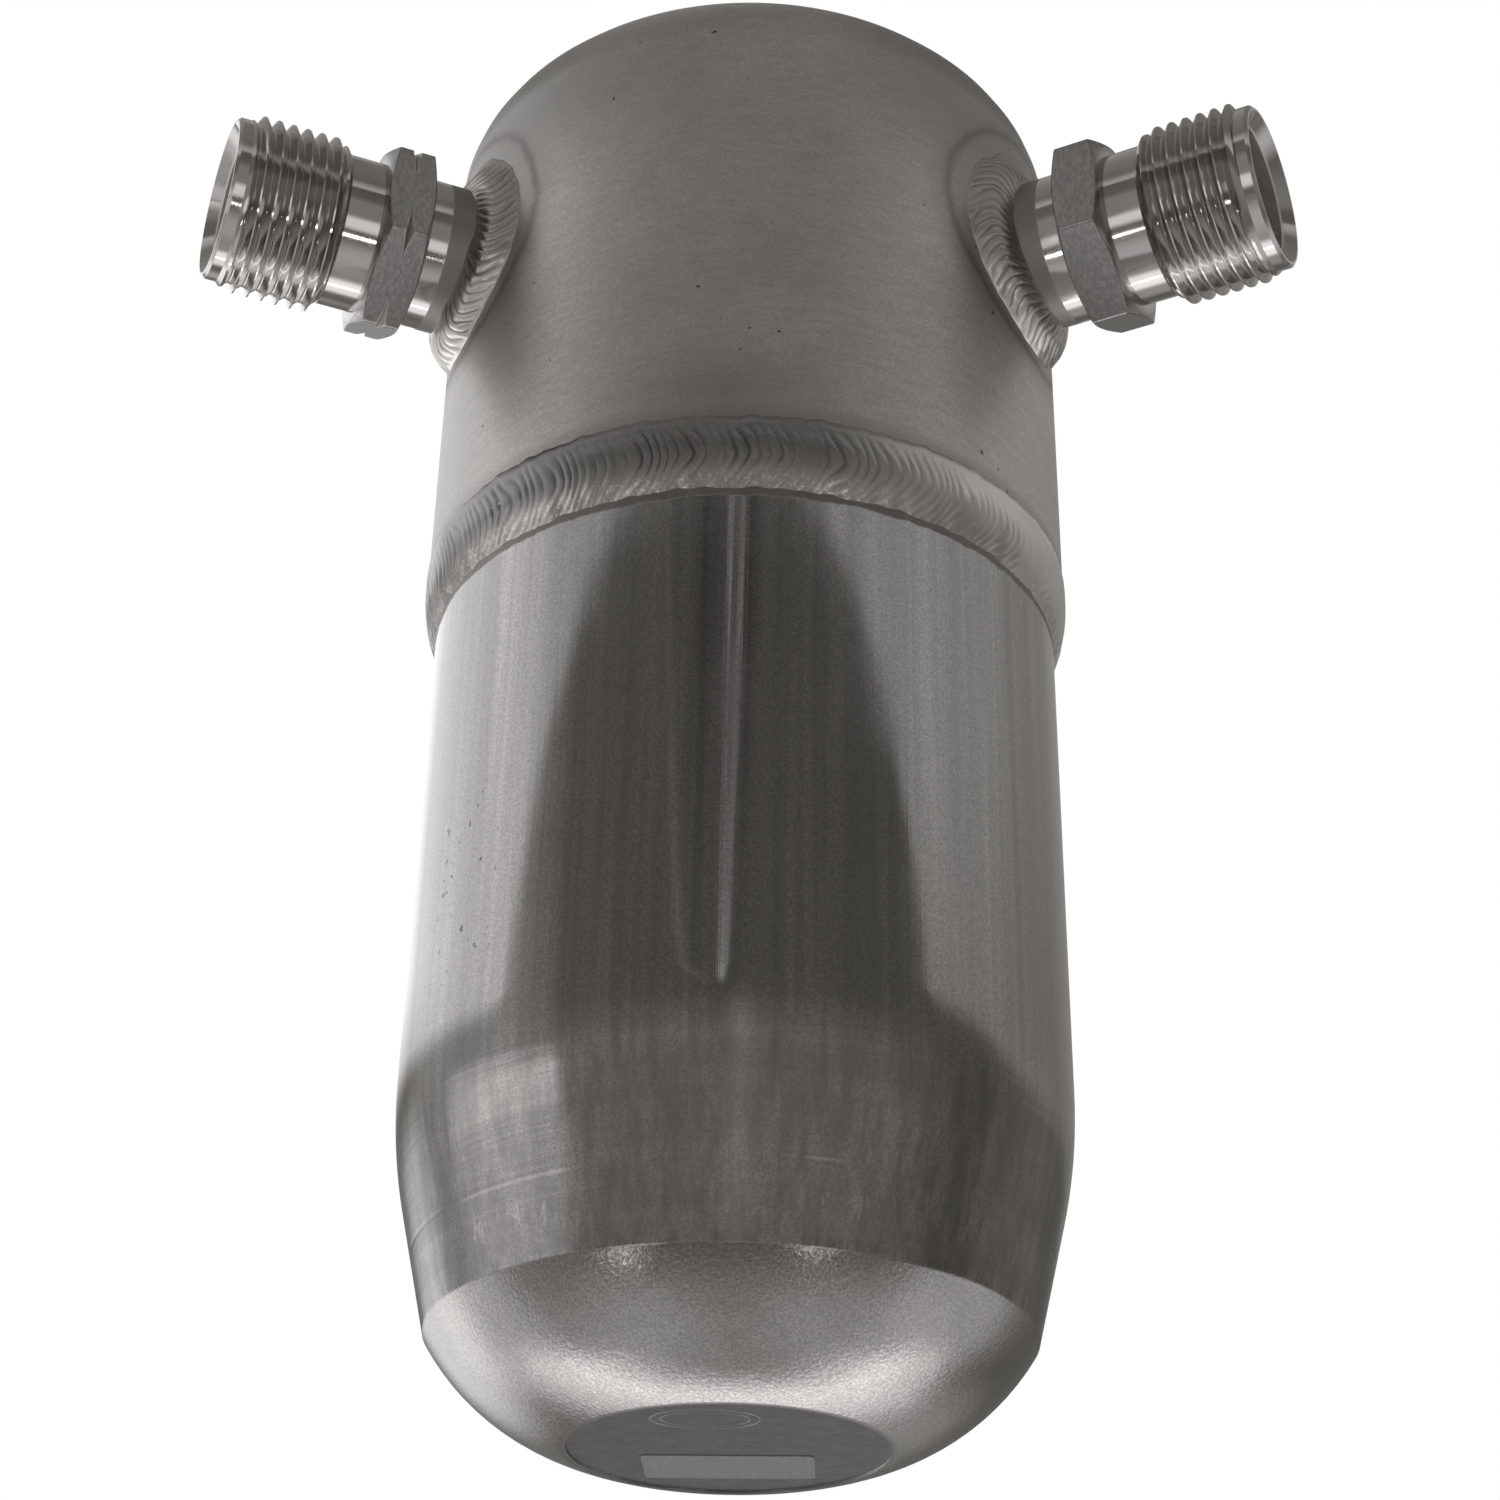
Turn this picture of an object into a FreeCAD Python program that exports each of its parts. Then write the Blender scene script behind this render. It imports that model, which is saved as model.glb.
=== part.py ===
import FreeCAD, Part
import math
import os
import Sketcher

# Welded aluminium filter drier for a vehicle air-conditioning circuit, in millimetres.
# It stands on its base ring: the origin is the centre of that ring and +Z runs up the can.
# The two ports stand out level to the left and right, and both lean towards -Y.

DRIVING_SIZES = {
    # Lower can: a drawn cup with a coined flat base, a domed edge and a tapered waist
    "can_od": 76.0,
    "can_wall": 2.0,
    "can_height": 107.0,
    "taper_inset": 4.8,
    "taper_height": 20.6,
    "fold_run": 7.0,
    "dome_width": 15.2,
    "dome_height": 11.4,
    "dome_radius": 26.0,
    "base_rim_width": 0.8,
    "base_recess": 0.25,
    # Upper head: a second cup that slips over the can
    "head_wall": 1.45,
    "head_knuckle": 10.6,
    "lap_clearance": 0.05,
    "lap_length": 5.0,
    # Girth weld round the lip of the head
    "bead_below_lip": 4.6,
    "bead_above_lip": 4.4,
    "bead_radius": 13.0,
    # Ports: neck, hexagon, relief, thread and plain collar, from the head outwards
    "port_above_rim": 40.2,
    "port_below_top": 28.8,
    "port_lean": 25.0,
    "port_inset": 1.0,
    "port_fit": 0.1,
    "neck_dia": 18.8,
    "neck_length": 7.3,
    "hex_flats": 22.2,
    "hex_width": 6.0,
    "hex_face_dia": 21.2,
    "hex_chamfer": 1.2,
    "notch_width": 2.2,
    "notch_root": 0.4,
    "relief_step": 1.55,
    "relief_length": 4.4,
    "thread_dia": 22.2,
    "thread_length": 12.7,
    "collar_step": 0.9,
    "collar_length": 1.7,
    "collar_edge": 0.4,
    "pilot_dia": 16.0,
    "pilot_depth": 16.0,
    "mouth_chamfer": 1.5,
    "socket_depth": 5.5,
    "port_bead_width": 4.9,
    "port_bead_height": 3.1,
    "port_bead_edge": 0.3,
    # Pick-up tube
    "tube_od": 12.7,
    "tube_wall": 1.0,
    "tube_fit": 0.1,
    "bend_radius": 16.0,
    "bend_above_floor": 11.8,
    "tube_end_above_rim": 8.0,
    "bleed_dia": 1.6,
    # Deflector over the open end of the tube
    "deflector_sheet": 1.2,
    "deflector_skirt": 6.0,
    "deflector_rise": 12.0,
    "deflector_fit": 0.15,
    "drain_dia": 4.5,
    "drain_inset": 6.9,
    # Bracket that ties the two legs of the tube
    "bracket_above_pouch": 6.0,
    "bracket_sheet": 2.0,
    "bracket_margin": 3.0,
    "bracket_fit": 0.15,
    # Oil filter under the bend
    "cage_od": 22.0,
    "cage_wall": 1.3,
    "cage_saddle": 3.4,
    "cage_fit": 0.2,
    "window_sill": 1.4,
    "window_height": 5.0,
    "window_width": 9.0,
    "screen_wall": 0.5,
    "screen_fit": 0.1,
    "screen_gap": 1.0,
    # Desiccant pouches and their tie
    "pouch_wall_gap": 6.0,
    "pouch_above_taper": 6.0,
    "pouch_length": 40.0,
    "pouch_round": 4.0,
    "pouch_fit": 0.2,
    "tie_width": 4.8,
    "tie_thickness": 1.3,
    "tie_head_width": 7.0,
    "tie_head_depth": 3.0,
}

DRAIN_COUNT = 8
WINDOW_COUNT = 4
FULL_TURN = 360.0
INLET = -1
OUTLET = 1

document = FreeCAD.newDocument("FilterDrier")
sheet = document.addObject("Spreadsheet::Sheet", "Sizes")


class Size:
    """A length that knows its value and the expression that drives it."""

    def __init__(self, text, value):
        self.text = text
        self.value = value

    def joined(self, sign, other, value):
        other_text = other.text if isinstance(other, Size) else repr(float(other))
        return Size("(" + self.text + " " + sign + " " + other_text + ")", value)

    def __add__(self, other):
        return self.joined("+", other, self.value + amount(other))

    def __sub__(self, other):
        return self.joined("-", other, self.value - amount(other))

    def __mul__(self, other):
        return self.joined("*", other, self.value * amount(other))

    def __truediv__(self, other):
        return self.joined("/", other, self.value / amount(other))

    def __neg__(self):
        return Size("(-1 * " + self.text + ")", -self.value)


def amount(length):
    return length.value if isinstance(length, Size) else float(length)


def fill_sheet():
    for row, (name, value) in enumerate(DRIVING_SIZES.items(), start=1):
        sheet.set("A%d" % row, name)
        sheet.set("B%d" % row, str(value))
        sheet.setAlias("B%d" % row, name)
    document.recompute()


def size(name):
    return Size("Sizes." + name, float(sheet.get(name)))


def hypotenuse(across, along):
    """Length of a slope that goes so far across and so far along."""
    squares = across * across + along * along
    return Size("sqrt" + squares.text, math.sqrt(squares.value))


def bind(thing, prop, length):
    thing.setExpression(prop, length.text)


# Bodies and sketches, whose every corner is tied to the sizes


def new_body(label):
    body = document.addObject("PartDesign::Body", label)
    body.Label = label
    return body


def origin_plane(body, role):
    for feature in body.Origin.OriginFeatures:
        if feature.Role == role:
            return feature
    raise RuntimeError("no plane " + role)


def new_sketch(body, label, role, offset=None):
    sketch = body.newObject("Sketcher::SketchObject", label)
    sketch.AttachmentSupport = [(origin_plane(body, role), "")]
    sketch.MapMode = "FlatFace"
    if offset is not None:
        bind(sketch, "AttachmentOffset.Base.z", offset)
    return sketch


def tie(sketch, kind, references, length):
    """Add one dimension that follows a size."""
    number = sketch.addConstraint(Sketcher.Constraint(kind, *references, amount(length)))
    bind(sketch, "Constraints[%d]" % number, length)


def tie_point(sketch, edge, end, corner):
    """Fix a point at a corner; a plain 0 puts it on the axis."""
    for kind, axis, length in (("DistanceX", -2, corner[0]), ("DistanceY", -1, corner[1])):
        if isinstance(length, Size):
            tie(sketch, kind, (-1, 1, edge, end), length)
        else:
            sketch.addConstraint(Sketcher.Constraint("PointOnObject", edge, end, axis))


def short_arc(start, end, radius, turn):
    """The short arc from start to end; turn is 1 anticlockwise and -1 clockwise."""
    chord = end - start
    half = chord.Length / 2
    to_centre = math.sqrt(max(radius * radius - half * half, 0.0))
    left = FreeCAD.Vector(-chord.y, chord.x, 0).normalize()
    centre = (start + end) * 0.5 + left * (to_centre * turn)
    first, last = (start, end) if turn > 0 else (end, start)
    angles = [math.atan2(point.y - centre.y, point.x - centre.x) for point in (first, last)]
    circle = Part.Circle(centre, FreeCAD.Vector(0, 0, 1), radius)
    return Part.ArcOfCircle(circle, angles[0], angles[1])


def draw_chain(sketch, corners, closed=True):
    """Draw the lines and arcs that join the corners in order.

    A corner is (x, y), or (x, y, radius, turn) where an arc leads to it from the corner before it.
    """
    points = [FreeCAD.Vector(amount(corner[0]), amount(corner[1]), 0) for corner in corners]
    targets = list(range(1, len(corners))) + ([0] if closed else [])
    legs = []
    for target in targets:
        corner = corners[target]
        start, end = points[target - 1], points[target]
        if len(corner) == 4:
            edge = sketch.addGeometry(short_arc(start, end, amount(corner[2]), corner[3]))
            tie(sketch, "Radius", (edge,), corner[2])
        else:
            edge = sketch.addGeometry(Part.LineSegment(start, end))
        backwards = len(corner) == 4 and corner[3] < 0
        legs.append((edge, 2 if backwards else 1, 1 if backwards else 2))
    followers = legs[1:] + (legs[:1] if closed else [])
    for before, after in zip(legs, followers):
        link = Sketcher.Constraint("Coincident", before[0], before[2], after[0], after[1])
        sketch.addConstraint(link)
    for leg, target in zip(legs, targets):
        tie_point(sketch, leg[0], leg[1], corners[target - 1])
    if not closed:
        tie_point(sketch, legs[-1][0], legs[-1][2], corners[-1])


def draw_circle(sketch, x, y, radius):
    centre = FreeCAD.Vector(amount(x), amount(y), 0)
    edge = sketch.addGeometry(Part.Circle(centre, FreeCAD.Vector(0, 0, 1), amount(radius)))
    tie_point(sketch, edge, 3, (x, y))
    tie(sketch, "Radius", (edge,), radius)


def draw_rectangle(sketch, left, right, low, high):
    draw_chain(sketch, [(left, low), (right, low), (right, high), (left, high)])


def draw_axis(sketch, start, end):
    """Construction line that a turned feature can use as its axis."""
    points = [FreeCAD.Vector(amount(place[0]), amount(place[1]), 0) for place in (start, end)]
    line = sketch.addGeometry(Part.LineSegment(*points), True)
    tie_point(sketch, line, 1, start)
    tie_point(sketch, line, 2, end)


# Features


def add_turned(body, kind, sketch, axis):
    feature = body.newObject(kind, sketch.Name + "_turned")
    feature.Profile = sketch
    feature.ReferenceAxis = (sketch, [axis])
    feature.Angle = FULL_TURN
    return feature


def revolve(body, sketch, axis="V_Axis"):
    return add_turned(body, "PartDesign::Revolution", sketch, axis)


def groove(body, sketch, axis="V_Axis"):
    return add_turned(body, "PartDesign::Groove", sketch, axis)


def add_straight(body, kind, sketch, length, midplane, backwards):
    feature = body.newObject(kind, sketch.Name + "_run")
    feature.Profile = sketch
    bind(feature, "Length", length)
    feature.Midplane = midplane
    feature.Reversed = backwards
    return feature


def pad(body, sketch, length, midplane=False, backwards=False):
    return add_straight(body, "PartDesign::Pad", sketch, length, midplane, backwards)


def pocket(body, sketch, length, midplane=False, backwards=False):
    return add_straight(body, "PartDesign::Pocket", sketch, length, midplane, backwards)


def repeat_round(body, feature, sketch, axis, count):
    pattern = body.newObject("PartDesign::PolarPattern", feature.Name + "_ring")
    pattern.Originals = [feature]
    pattern.Axis = (sketch, [axis])
    pattern.Angle = FULL_TURN
    pattern.Occurrences = count
    body.Tip = pattern


def round_edges(body, base, edges, radius):
    feature = body.newObject("PartDesign::Fillet", base.Name + "_rounded")
    feature.Base = (base, edges)
    bind(feature, "Radius", radius)


def slope_edges(body, base, edges, first, second):
    """Chamfer that takes its first length off one face and its second off the other.

    Which face comes first changes with the sizes, so the chamfer is flipped where it fails.
    """
    feature = body.newObject("PartDesign::Chamfer", base.Name + "_sloped")
    feature.Base = (base, edges)
    feature.ChamferType = "Two distances"
    bind(feature, "Size", first)
    bind(feature, "Size2", second)
    document.recompute()
    if not feature.isValid() or not feature.Shape.isValid():
        feature.FlipDirection = True


def edge_names(shape, wanted):
    """Names of the edges whose middle point passes the test."""
    names = []
    for number, edge in enumerate(shape.Edges, start=1):
        middle = edge.valueAt((edge.FirstParameter + edge.LastParameter) / 2)
        if wanted(middle):
            names.append("Edge%d" % number)
    return names


def cut_away(label, base, tool):
    cut = document.addObject("Part::Cut", label)
    cut.Label = label
    cut.Base = base
    cut.Tool = tool
    return cut


# Places that several pieces share


def can_radius():
    return size("can_od") / 2


def base_radius():
    return dome_rim_radius() - size("dome_width")


def dome_rim_radius():
    return can_radius() - size("taper_inset")


def taper_top():
    return size("dome_height") + size("taper_height")


def can_floor():
    return size("can_wall") + size("base_recess")


def head_bore_radius():
    return can_radius() + size("lap_clearance")


def head_radius():
    return head_bore_radius() + size("head_wall")


def head_lip():
    return size("can_height") - size("lap_length")


def port_height():
    return size("can_height") + size("port_above_rim")


def head_top():
    return port_height() + size("port_below_top")


def port_start():
    """Distance from the can's axis to the inner end of a port."""
    return head_bore_radius() - size("port_inset")


def socket_end():
    return port_start() + size("socket_depth")


def hex_foot():
    return head_radius() + size("neck_length")


def hex_top():
    return hex_foot() + size("hex_width")


def thread_foot():
    return hex_top() + size("relief_length")


def thread_top():
    return thread_foot() + size("thread_length")


def port_mouth():
    return thread_top() + size("collar_length")


def tube_radius():
    return size("tube_od") / 2


def tube_bore_radius():
    return tube_radius() - size("tube_wall")


def bend_foot():
    """Height of the lowest point of the return bend's centre line."""
    return can_floor() + size("bend_above_floor") + tube_radius()


def bend_centre():
    return bend_foot() + size("bend_radius")


def cage_floor():
    return can_floor() + size("cage_fit")


def cage_bore_radius():
    return size("cage_od") / 2 - size("cage_wall")


def pouch_radius():
    return can_radius() - size("can_wall") - size("pouch_wall_gap")


def pouch_bottom():
    return taper_top() + size("pouch_above_taper")


def pouch_top():
    return pouch_bottom() + size("pouch_length")


def bearing(side):
    """Angle of a port about the can's axis, from +X."""
    lean = size("port_lean")
    return -lean + FULL_TURN if side == OUTLET else lean + FULL_TURN / 2


def swing(body, side, height=None):
    """Turn the body about the can's axis so that its +X runs along a port."""
    start = FreeCAD.Rotation(FreeCAD.Vector(0, 0, 1), amount(bearing(side)))
    body.Placement = FreeCAD.Placement(FreeCAD.Vector(), start)
    bind(body, "Placement.Rotation.Angle", bearing(side))
    if height is not None:
        bind(body, "Placement.Base.z", height)
    return body


# Shells


def make_lower_can():
    """Drawn cup: coined base, domed edge, crisp rim, tapered waist, soft fold and straight wall."""
    wall = size("can_wall")
    rim = dome_rim_radius()
    dome_top = size("dome_height")
    recess_radius = base_radius() - size("base_rim_width")
    inset = size("taper_inset")
    height = size("taper_height")
    run = size("fold_run")
    slope = hypotenuse(inset, height)
    fold_radius = run * (slope + height) / inset
    fold_foot = can_radius() - inset * run / slope
    fold_low = taper_top() - height * run / slope
    body = new_body("lower_can")
    profile = new_sketch(body, "can_profile", "XZ_Plane")
    draw_chain(profile, [
        (0, size("base_recess")),
        (recess_radius, size("base_recess")),
        (recess_radius, 0),
        (base_radius(), 0),
        (rim, dome_top, size("dome_radius"), 1),
        (fold_foot, fold_low),
        (can_radius(), taper_top() + run, fold_radius, 1),
        (can_radius(), size("can_height")),
        (can_radius() - wall, size("can_height")),
        (can_radius() - wall, taper_top() + run),
        (fold_foot - wall * height / slope, fold_low + wall * inset / slope, fold_radius - wall, -1),
        (rim - wall, dome_top + wall / 2),
        (base_radius(), can_floor(), size("dome_radius") - wall, -1),
        (0, can_floor()),
    ])
    revolve(body, profile)
    return body


def make_upper_head():
    """Cup turned mouth down, with a rounded shoulder and a hole for each port."""
    wall = size("head_wall")
    knuckle = size("head_knuckle")
    shoulder = head_top() - knuckle
    crown_radius = head_radius() - knuckle
    body = new_body("head_shell")
    profile = new_sketch(body, "head_profile", "XZ_Plane")
    draw_chain(profile, [
        (head_bore_radius(), head_lip()),
        (head_radius(), head_lip()),
        (head_radius(), shoulder),
        (crown_radius, head_top(), knuckle, 1),
        (0, head_top()),
        (0, head_top() - wall),
        (crown_radius, head_top() - wall),
        (head_bore_radius(), shoulder, knuckle - wall, -1),
    ])
    revolve(body, profile)
    drilled = cut_away("head_with_one_hole", body, make_port_hole("inlet_hole", INLET))
    return cut_away("upper_head", drilled, make_port_hole("outlet_hole", OUTLET))


def make_port_hole(label, side):
    body = new_body(label)
    circle = new_sketch(body, label + "_circle", "YZ_Plane")
    draw_circle(circle, 0, 0, size("neck_dia") / 2 + size("port_fit"))
    pad(body, circle, hex_foot())
    return swing(body, side, port_height())


def make_girth_weld():
    """Bead that covers the head's lip and fills the step below it."""
    body = new_body("girth_weld")
    profile = new_sketch(body, "bead_profile", "XZ_Plane")
    draw_chain(profile, [
        (head_radius(), head_lip() + size("bead_above_lip"), size("bead_radius"), 1),
        (head_radius(), head_lip()),
        (can_radius(), head_lip()),
        (can_radius(), head_lip() - size("bead_below_lip")),
    ])
    revolve(body, profile)
    return body


# Ports


def make_fitting(label, side):
    """Turned port: neck, chamfered hexagon, relief, thread at its major diameter and collar."""
    body = new_body(label)
    add_hexagon(body, label, side)
    add_turning(body, label)
    cut_boring(body, label, side)
    return swing(body, side, port_height())


def add_hexagon(body, label, side):
    """Hexagon with a corner up; the inlet's corners carry a turned notch half way along."""
    flat = size("hex_flats") / 2
    corner = flat * 2 / math.sqrt(3)
    outline = new_sketch(body, label + "_hexagon", "YZ_Plane", hex_foot())
    draw_chain(outline, [
        (0, corner),
        (-flat, corner / 2),
        (-flat, -corner / 2),
        (0, -corner),
        (flat, -corner / 2),
        (flat, corner / 2),
    ])
    pad(body, outline, size("hex_width"))

    face = size("hex_face_dia") / 2
    depth = size("hex_chamfer")
    clear = corner + size("hex_chamfer")
    shaving = new_sketch(body, label + "_chamfers", "XZ_Plane")
    draw_chain(shaving, [(hex_foot(), face), (hex_foot() + depth, clear), (hex_foot(), clear)])
    draw_chain(shaving, [(hex_top(), face), (hex_top(), clear), (hex_top() - depth, clear)])
    if side == INLET:
        middle = hex_foot() + size("hex_width") / 2
        half = size("notch_width") / 2
        root = flat + size("notch_root")
        draw_chain(shaving, [(middle, root), (middle + half, clear), (middle - half, clear)])
    groove(body, shaving, "H_Axis")


def add_turning(body, label):
    neck = size("neck_dia") / 2
    thread = size("thread_dia") / 2
    relief = thread - size("relief_step")
    collar = thread - size("collar_step")
    edge = size("collar_edge")
    profile = new_sketch(body, label + "_turning", "XZ_Plane")
    draw_chain(profile, [
        (port_start(), 0),
        (port_mouth(), 0),
        (port_mouth(), collar - edge),
        (port_mouth() - edge, collar),
        (thread_top(), collar),
        (thread_top(), thread),
        (thread_foot(), thread),
        (thread_foot(), relief),
        (hex_top(), relief),
        (hex_top(), neck),
        (port_start(), neck),
    ])
    revolve(body, profile, "H_Axis")


def cut_boring(body, label, side):
    """Pilot bore from the mouth, then the flow bore, and in the outlet a socket for the tube."""
    pilot = size("pilot_dia") / 2
    pilot_floor = port_mouth() - size("pilot_depth")
    flow = tube_bore_radius()
    socket = tube_radius() + size("tube_fit")
    corners = [
        (port_start(), 0),
        (port_mouth(), 0),
        (port_mouth(), pilot + size("mouth_chamfer")),
        (port_mouth() - size("mouth_chamfer"), pilot),
        (pilot_floor, pilot),
        (pilot_floor - (pilot - flow), flow),
    ]
    if side == OUTLET:
        corners += [(socket_end(), flow), (socket_end(), socket), (port_start(), socket)]
    else:
        corners += [(port_start(), flow)]
    profile = new_sketch(body, label + "_boring", "XZ_Plane")
    draw_chain(profile, corners)
    groove(body, profile, "H_Axis")


def make_port_weld(label, side):
    """Bead that follows the saddle where a port's neck meets the head, and slopes between them."""
    neck = size("neck_dia") / 2
    edge = size("port_bead_edge")
    toe = neck + size("port_bead_width")
    crown = head_radius() + size("port_bead_height")
    beyond = hex_top()
    full_height = toe * 2 + size("port_bead_width")
    body = new_body(label)
    ring = new_sketch(body, label + "_ring", "YZ_Plane")
    draw_circle(ring, 0, 0, toe)
    draw_circle(ring, 0, 0, neck)
    pad(body, ring, beyond)
    bed = new_sketch(body, label + "_bed", "XY_Plane")
    draw_circle(bed, 0, 0, head_radius())
    pocket(body, bed, full_height, midplane=True)
    outside = new_sketch(body, label + "_outside", "XY_Plane")
    draw_circle(outside, 0, 0, crown)
    draw_circle(outside, 0, 0, beyond + toe)
    trimmed = pocket(body, outside, full_height, midplane=True)
    document.recompute()

    def at_crown_and_toe(point):
        on_crown = abs(math.hypot(point.x, point.y) - crown.value) < 0.01
        return on_crown and abs(math.hypot(point.y, point.z) - toe.value) < 0.01

    slope_edges(body, trimmed, edge_names(trimmed.Shape, at_crown_and_toe),
                size("port_bead_height") - edge, size("port_bead_width") - edge)
    return swing(body, side, port_height())


# Inside


def make_pickup_tube():
    """Bent tube: level from the outlet, down to a return bend, and up to an open end."""
    bend = size("bend_radius")
    start = socket_end() - size("tube_fit")
    top = port_height()
    body = new_body("pickup_tube")
    route = new_sketch(body, "tube_route", "XZ_Plane")
    draw_chain(route, [
        (start, top),
        (bend * 2, top),
        (bend, top - bend, bend, 1),
        (bend, bend_centre()),
        (0, bend_foot(), bend, -1),
        (-bend, bend_centre(), bend, -1),
        (-bend, size("can_height") + size("tube_end_above_rim")),
    ], closed=False)
    section = new_sketch(body, "tube_section", "YZ_Plane", start)
    draw_circle(section, 0, top, tube_radius())
    draw_circle(section, 0, top, tube_bore_radius())
    sweep = body.newObject("PartDesign::AdditivePipe", "tube_sweep")
    sweep.Profile = section
    sweep.Spine = (route, ["Edge%d" % (leg + 1) for leg in range(route.GeometryCount)])
    document.recompute()
    bleed = new_sketch(body, "bleed_hole", "XY_Plane")
    draw_circle(bleed, 0, 0, size("bleed_dia") / 2)
    pocket(body, bleed, bend_foot(), backwards=True)
    return swing(body, OUTLET)


def cap_radius(half_width, rise):
    """Radius of the dome that rises by rise over half_width and is level at its top."""
    return (half_width * half_width + rise * rise) / (rise * 2)


def make_deflector():
    """Domed sheet on the can's rim, with drain holes and a hole for the outlet leg."""
    gauge = size("deflector_sheet")
    rise = size("deflector_rise")
    rim = head_bore_radius() - size("deflector_fit")
    foot = size("can_height")
    shoulder = foot + size("deflector_skirt")
    crown = shoulder + rise
    body = new_body("deflector")
    profile = new_sketch(body, "deflector_profile", "XZ_Plane")
    draw_chain(profile, [
        (rim - gauge, foot),
        (rim, foot),
        (rim, shoulder),
        (0, crown, cap_radius(rim, rise), 1),
        (0, crown - gauge),
        (rim - gauge, shoulder - gauge, cap_radius(rim - gauge, rise), -1),
    ])
    revolve(body, profile)
    leg = new_sketch(body, "leg_hole", "XY_Plane")
    draw_circle(leg, size("bend_radius"), 0, tube_radius() + size("bracket_fit"))
    pocket(body, leg, head_top(), backwards=True)
    drain = new_sketch(body, "drain_hole", "XY_Plane")
    drain_circle = rim - size("drain_inset")
    half_step = math.pi / DRAIN_COUNT
    draw_circle(drain, drain_circle * math.cos(half_step), drain_circle * math.sin(half_step),
                size("drain_dia") / 2)
    hole = pocket(body, drain, head_top(), backwards=True)
    repeat_round(body, hole, drain, "N_Axis", DRAIN_COUNT)
    return swing(body, OUTLET)


def make_tube_bracket():
    """Stamped strap with round ends and a hole for each leg of the tube."""
    leg = size("bend_radius")
    hole = tube_radius() + size("bracket_fit")
    end = hole + size("bracket_margin")
    body = new_body("tube_bracket")
    strap = new_sketch(body, "strap", "XY_Plane", pouch_top() + size("bracket_above_pouch"))
    draw_chain(strap, [
        (-leg, -end, end, 1),
        (leg, -end),
        (leg + end, 0, end, 1),
        (leg, end, end, 1),
        (-leg, end),
        (-leg - end, 0, end, 1),
    ])
    draw_circle(strap, leg, 0, hole)
    draw_circle(strap, -leg, 0, hole)
    pad(body, strap, size("bracket_sheet"))
    return swing(body, OUTLET)


def make_oil_filter_cage():
    """Moulded cup with four windows and a saddle that takes the foot of the bend."""
    outer = size("cage_od") / 2
    bore = cage_bore_radius()
    floor_top = cage_floor() + size("cage_wall")
    brim = bend_foot() - tube_radius() + size("cage_saddle")
    body = new_body("oil_filter_cage")
    profile = new_sketch(body, "cage_profile", "XZ_Plane")
    draw_chain(profile, [
        (0, cage_floor()),
        (outer, cage_floor()),
        (outer, brim),
        (bore, brim),
        (bore, floor_top),
        (0, floor_top),
    ])
    revolve(body, profile)
    saddle = new_sketch(body, "cage_saddle_cut", "YZ_Plane")
    draw_circle(saddle, 0, bend_foot(), tube_radius() + size("cage_fit"))
    draw_axis(saddle, (-outer, bend_centre()), (outer, bend_centre()))
    groove(body, saddle, "Axis0")
    window = new_sketch(body, "cage_window", "XZ_Plane")
    half = size("window_width") / 2
    sill = floor_top + size("window_sill")
    draw_rectangle(window, -half, half, sill, sill + size("window_height"))
    opening = pocket(body, window, outer)
    repeat_round(body, opening, window, "V_Axis", WINDOW_COUNT)
    return swing(body, OUTLET)


def make_oil_filter_screen():
    """Fine mesh sleeve inside the cage, behind its windows."""
    outer = cage_bore_radius() - size("screen_fit")
    inner = outer - size("screen_wall")
    low = cage_floor() + size("cage_wall") + size("screen_fit")
    high = can_floor() + size("bend_above_floor") - size("screen_gap")
    body = new_body("oil_filter_screen")
    profile = new_sketch(body, "screen_profile", "XZ_Plane")
    draw_rectangle(profile, inner, outer, low, high)
    revolve(body, profile)
    return body


def make_pouch(label, side):
    """Felt pouch of desiccant beads: a round pillow with a flat side against the tube."""
    radius = pouch_radius()
    face = tube_radius() + size("pouch_fit")
    body = new_body(label)
    circle = new_sketch(body, label + "_outline", "XY_Plane", pouch_bottom())
    draw_circle(circle, 0, 0, radius)
    pad(body, circle, size("pouch_length"))
    flat = new_sketch(body, label + "_flat", "XY_Plane", pouch_bottom())
    beyond = radius + face
    low, high = (-beyond, face) if side == OUTLET else (-face, beyond)
    draw_rectangle(flat, -beyond, beyond, low, high)
    halved = pocket(body, flat, size("pouch_length"), backwards=True)
    document.recompute()
    every_edge = edge_names(halved.Shape, lambda point: True)
    round_edges(body, halved, every_edge, size("pouch_round"))
    return swing(body, OUTLET)


def make_pouch_tie():
    """Cable tie round both pouches, with its locking head."""
    inner = pouch_radius() + size("pouch_fit")
    outer = inner + size("tie_thickness")
    low = pouch_bottom() + (size("pouch_length") - size("tie_width")) / 2
    body = new_body("pouch_tie")
    band = new_sketch(body, "tie_band", "XZ_Plane")
    draw_rectangle(band, inner, outer, low, low + size("tie_width"))
    revolve(body, band)
    head = new_sketch(body, "tie_head", "XY_Plane", low)
    half = size("tie_head_width") / 2
    draw_rectangle(head, -half, half, inner + size("tie_thickness") / 2,
                   outer + size("tie_head_depth"))
    pad(body, head, size("tie_width"))
    return swing(body, OUTLET)


def make_parts():
    return [
        make_lower_can(),
        make_upper_head(),
        make_girth_weld(),
        make_fitting("inlet_fitting", INLET),
        make_fitting("outlet_fitting", OUTLET),
        make_port_weld("inlet_weld", INLET),
        make_port_weld("outlet_weld", OUTLET),
        make_pickup_tube(),
        make_deflector(),
        make_tube_bracket(),
        make_oil_filter_cage(),
        make_oil_filter_screen(),
        make_pouch("desiccant_pouch_front", INLET),
        make_pouch("desiccant_pouch_rear", OUTLET),
        make_pouch_tie(),
    ]


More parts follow.
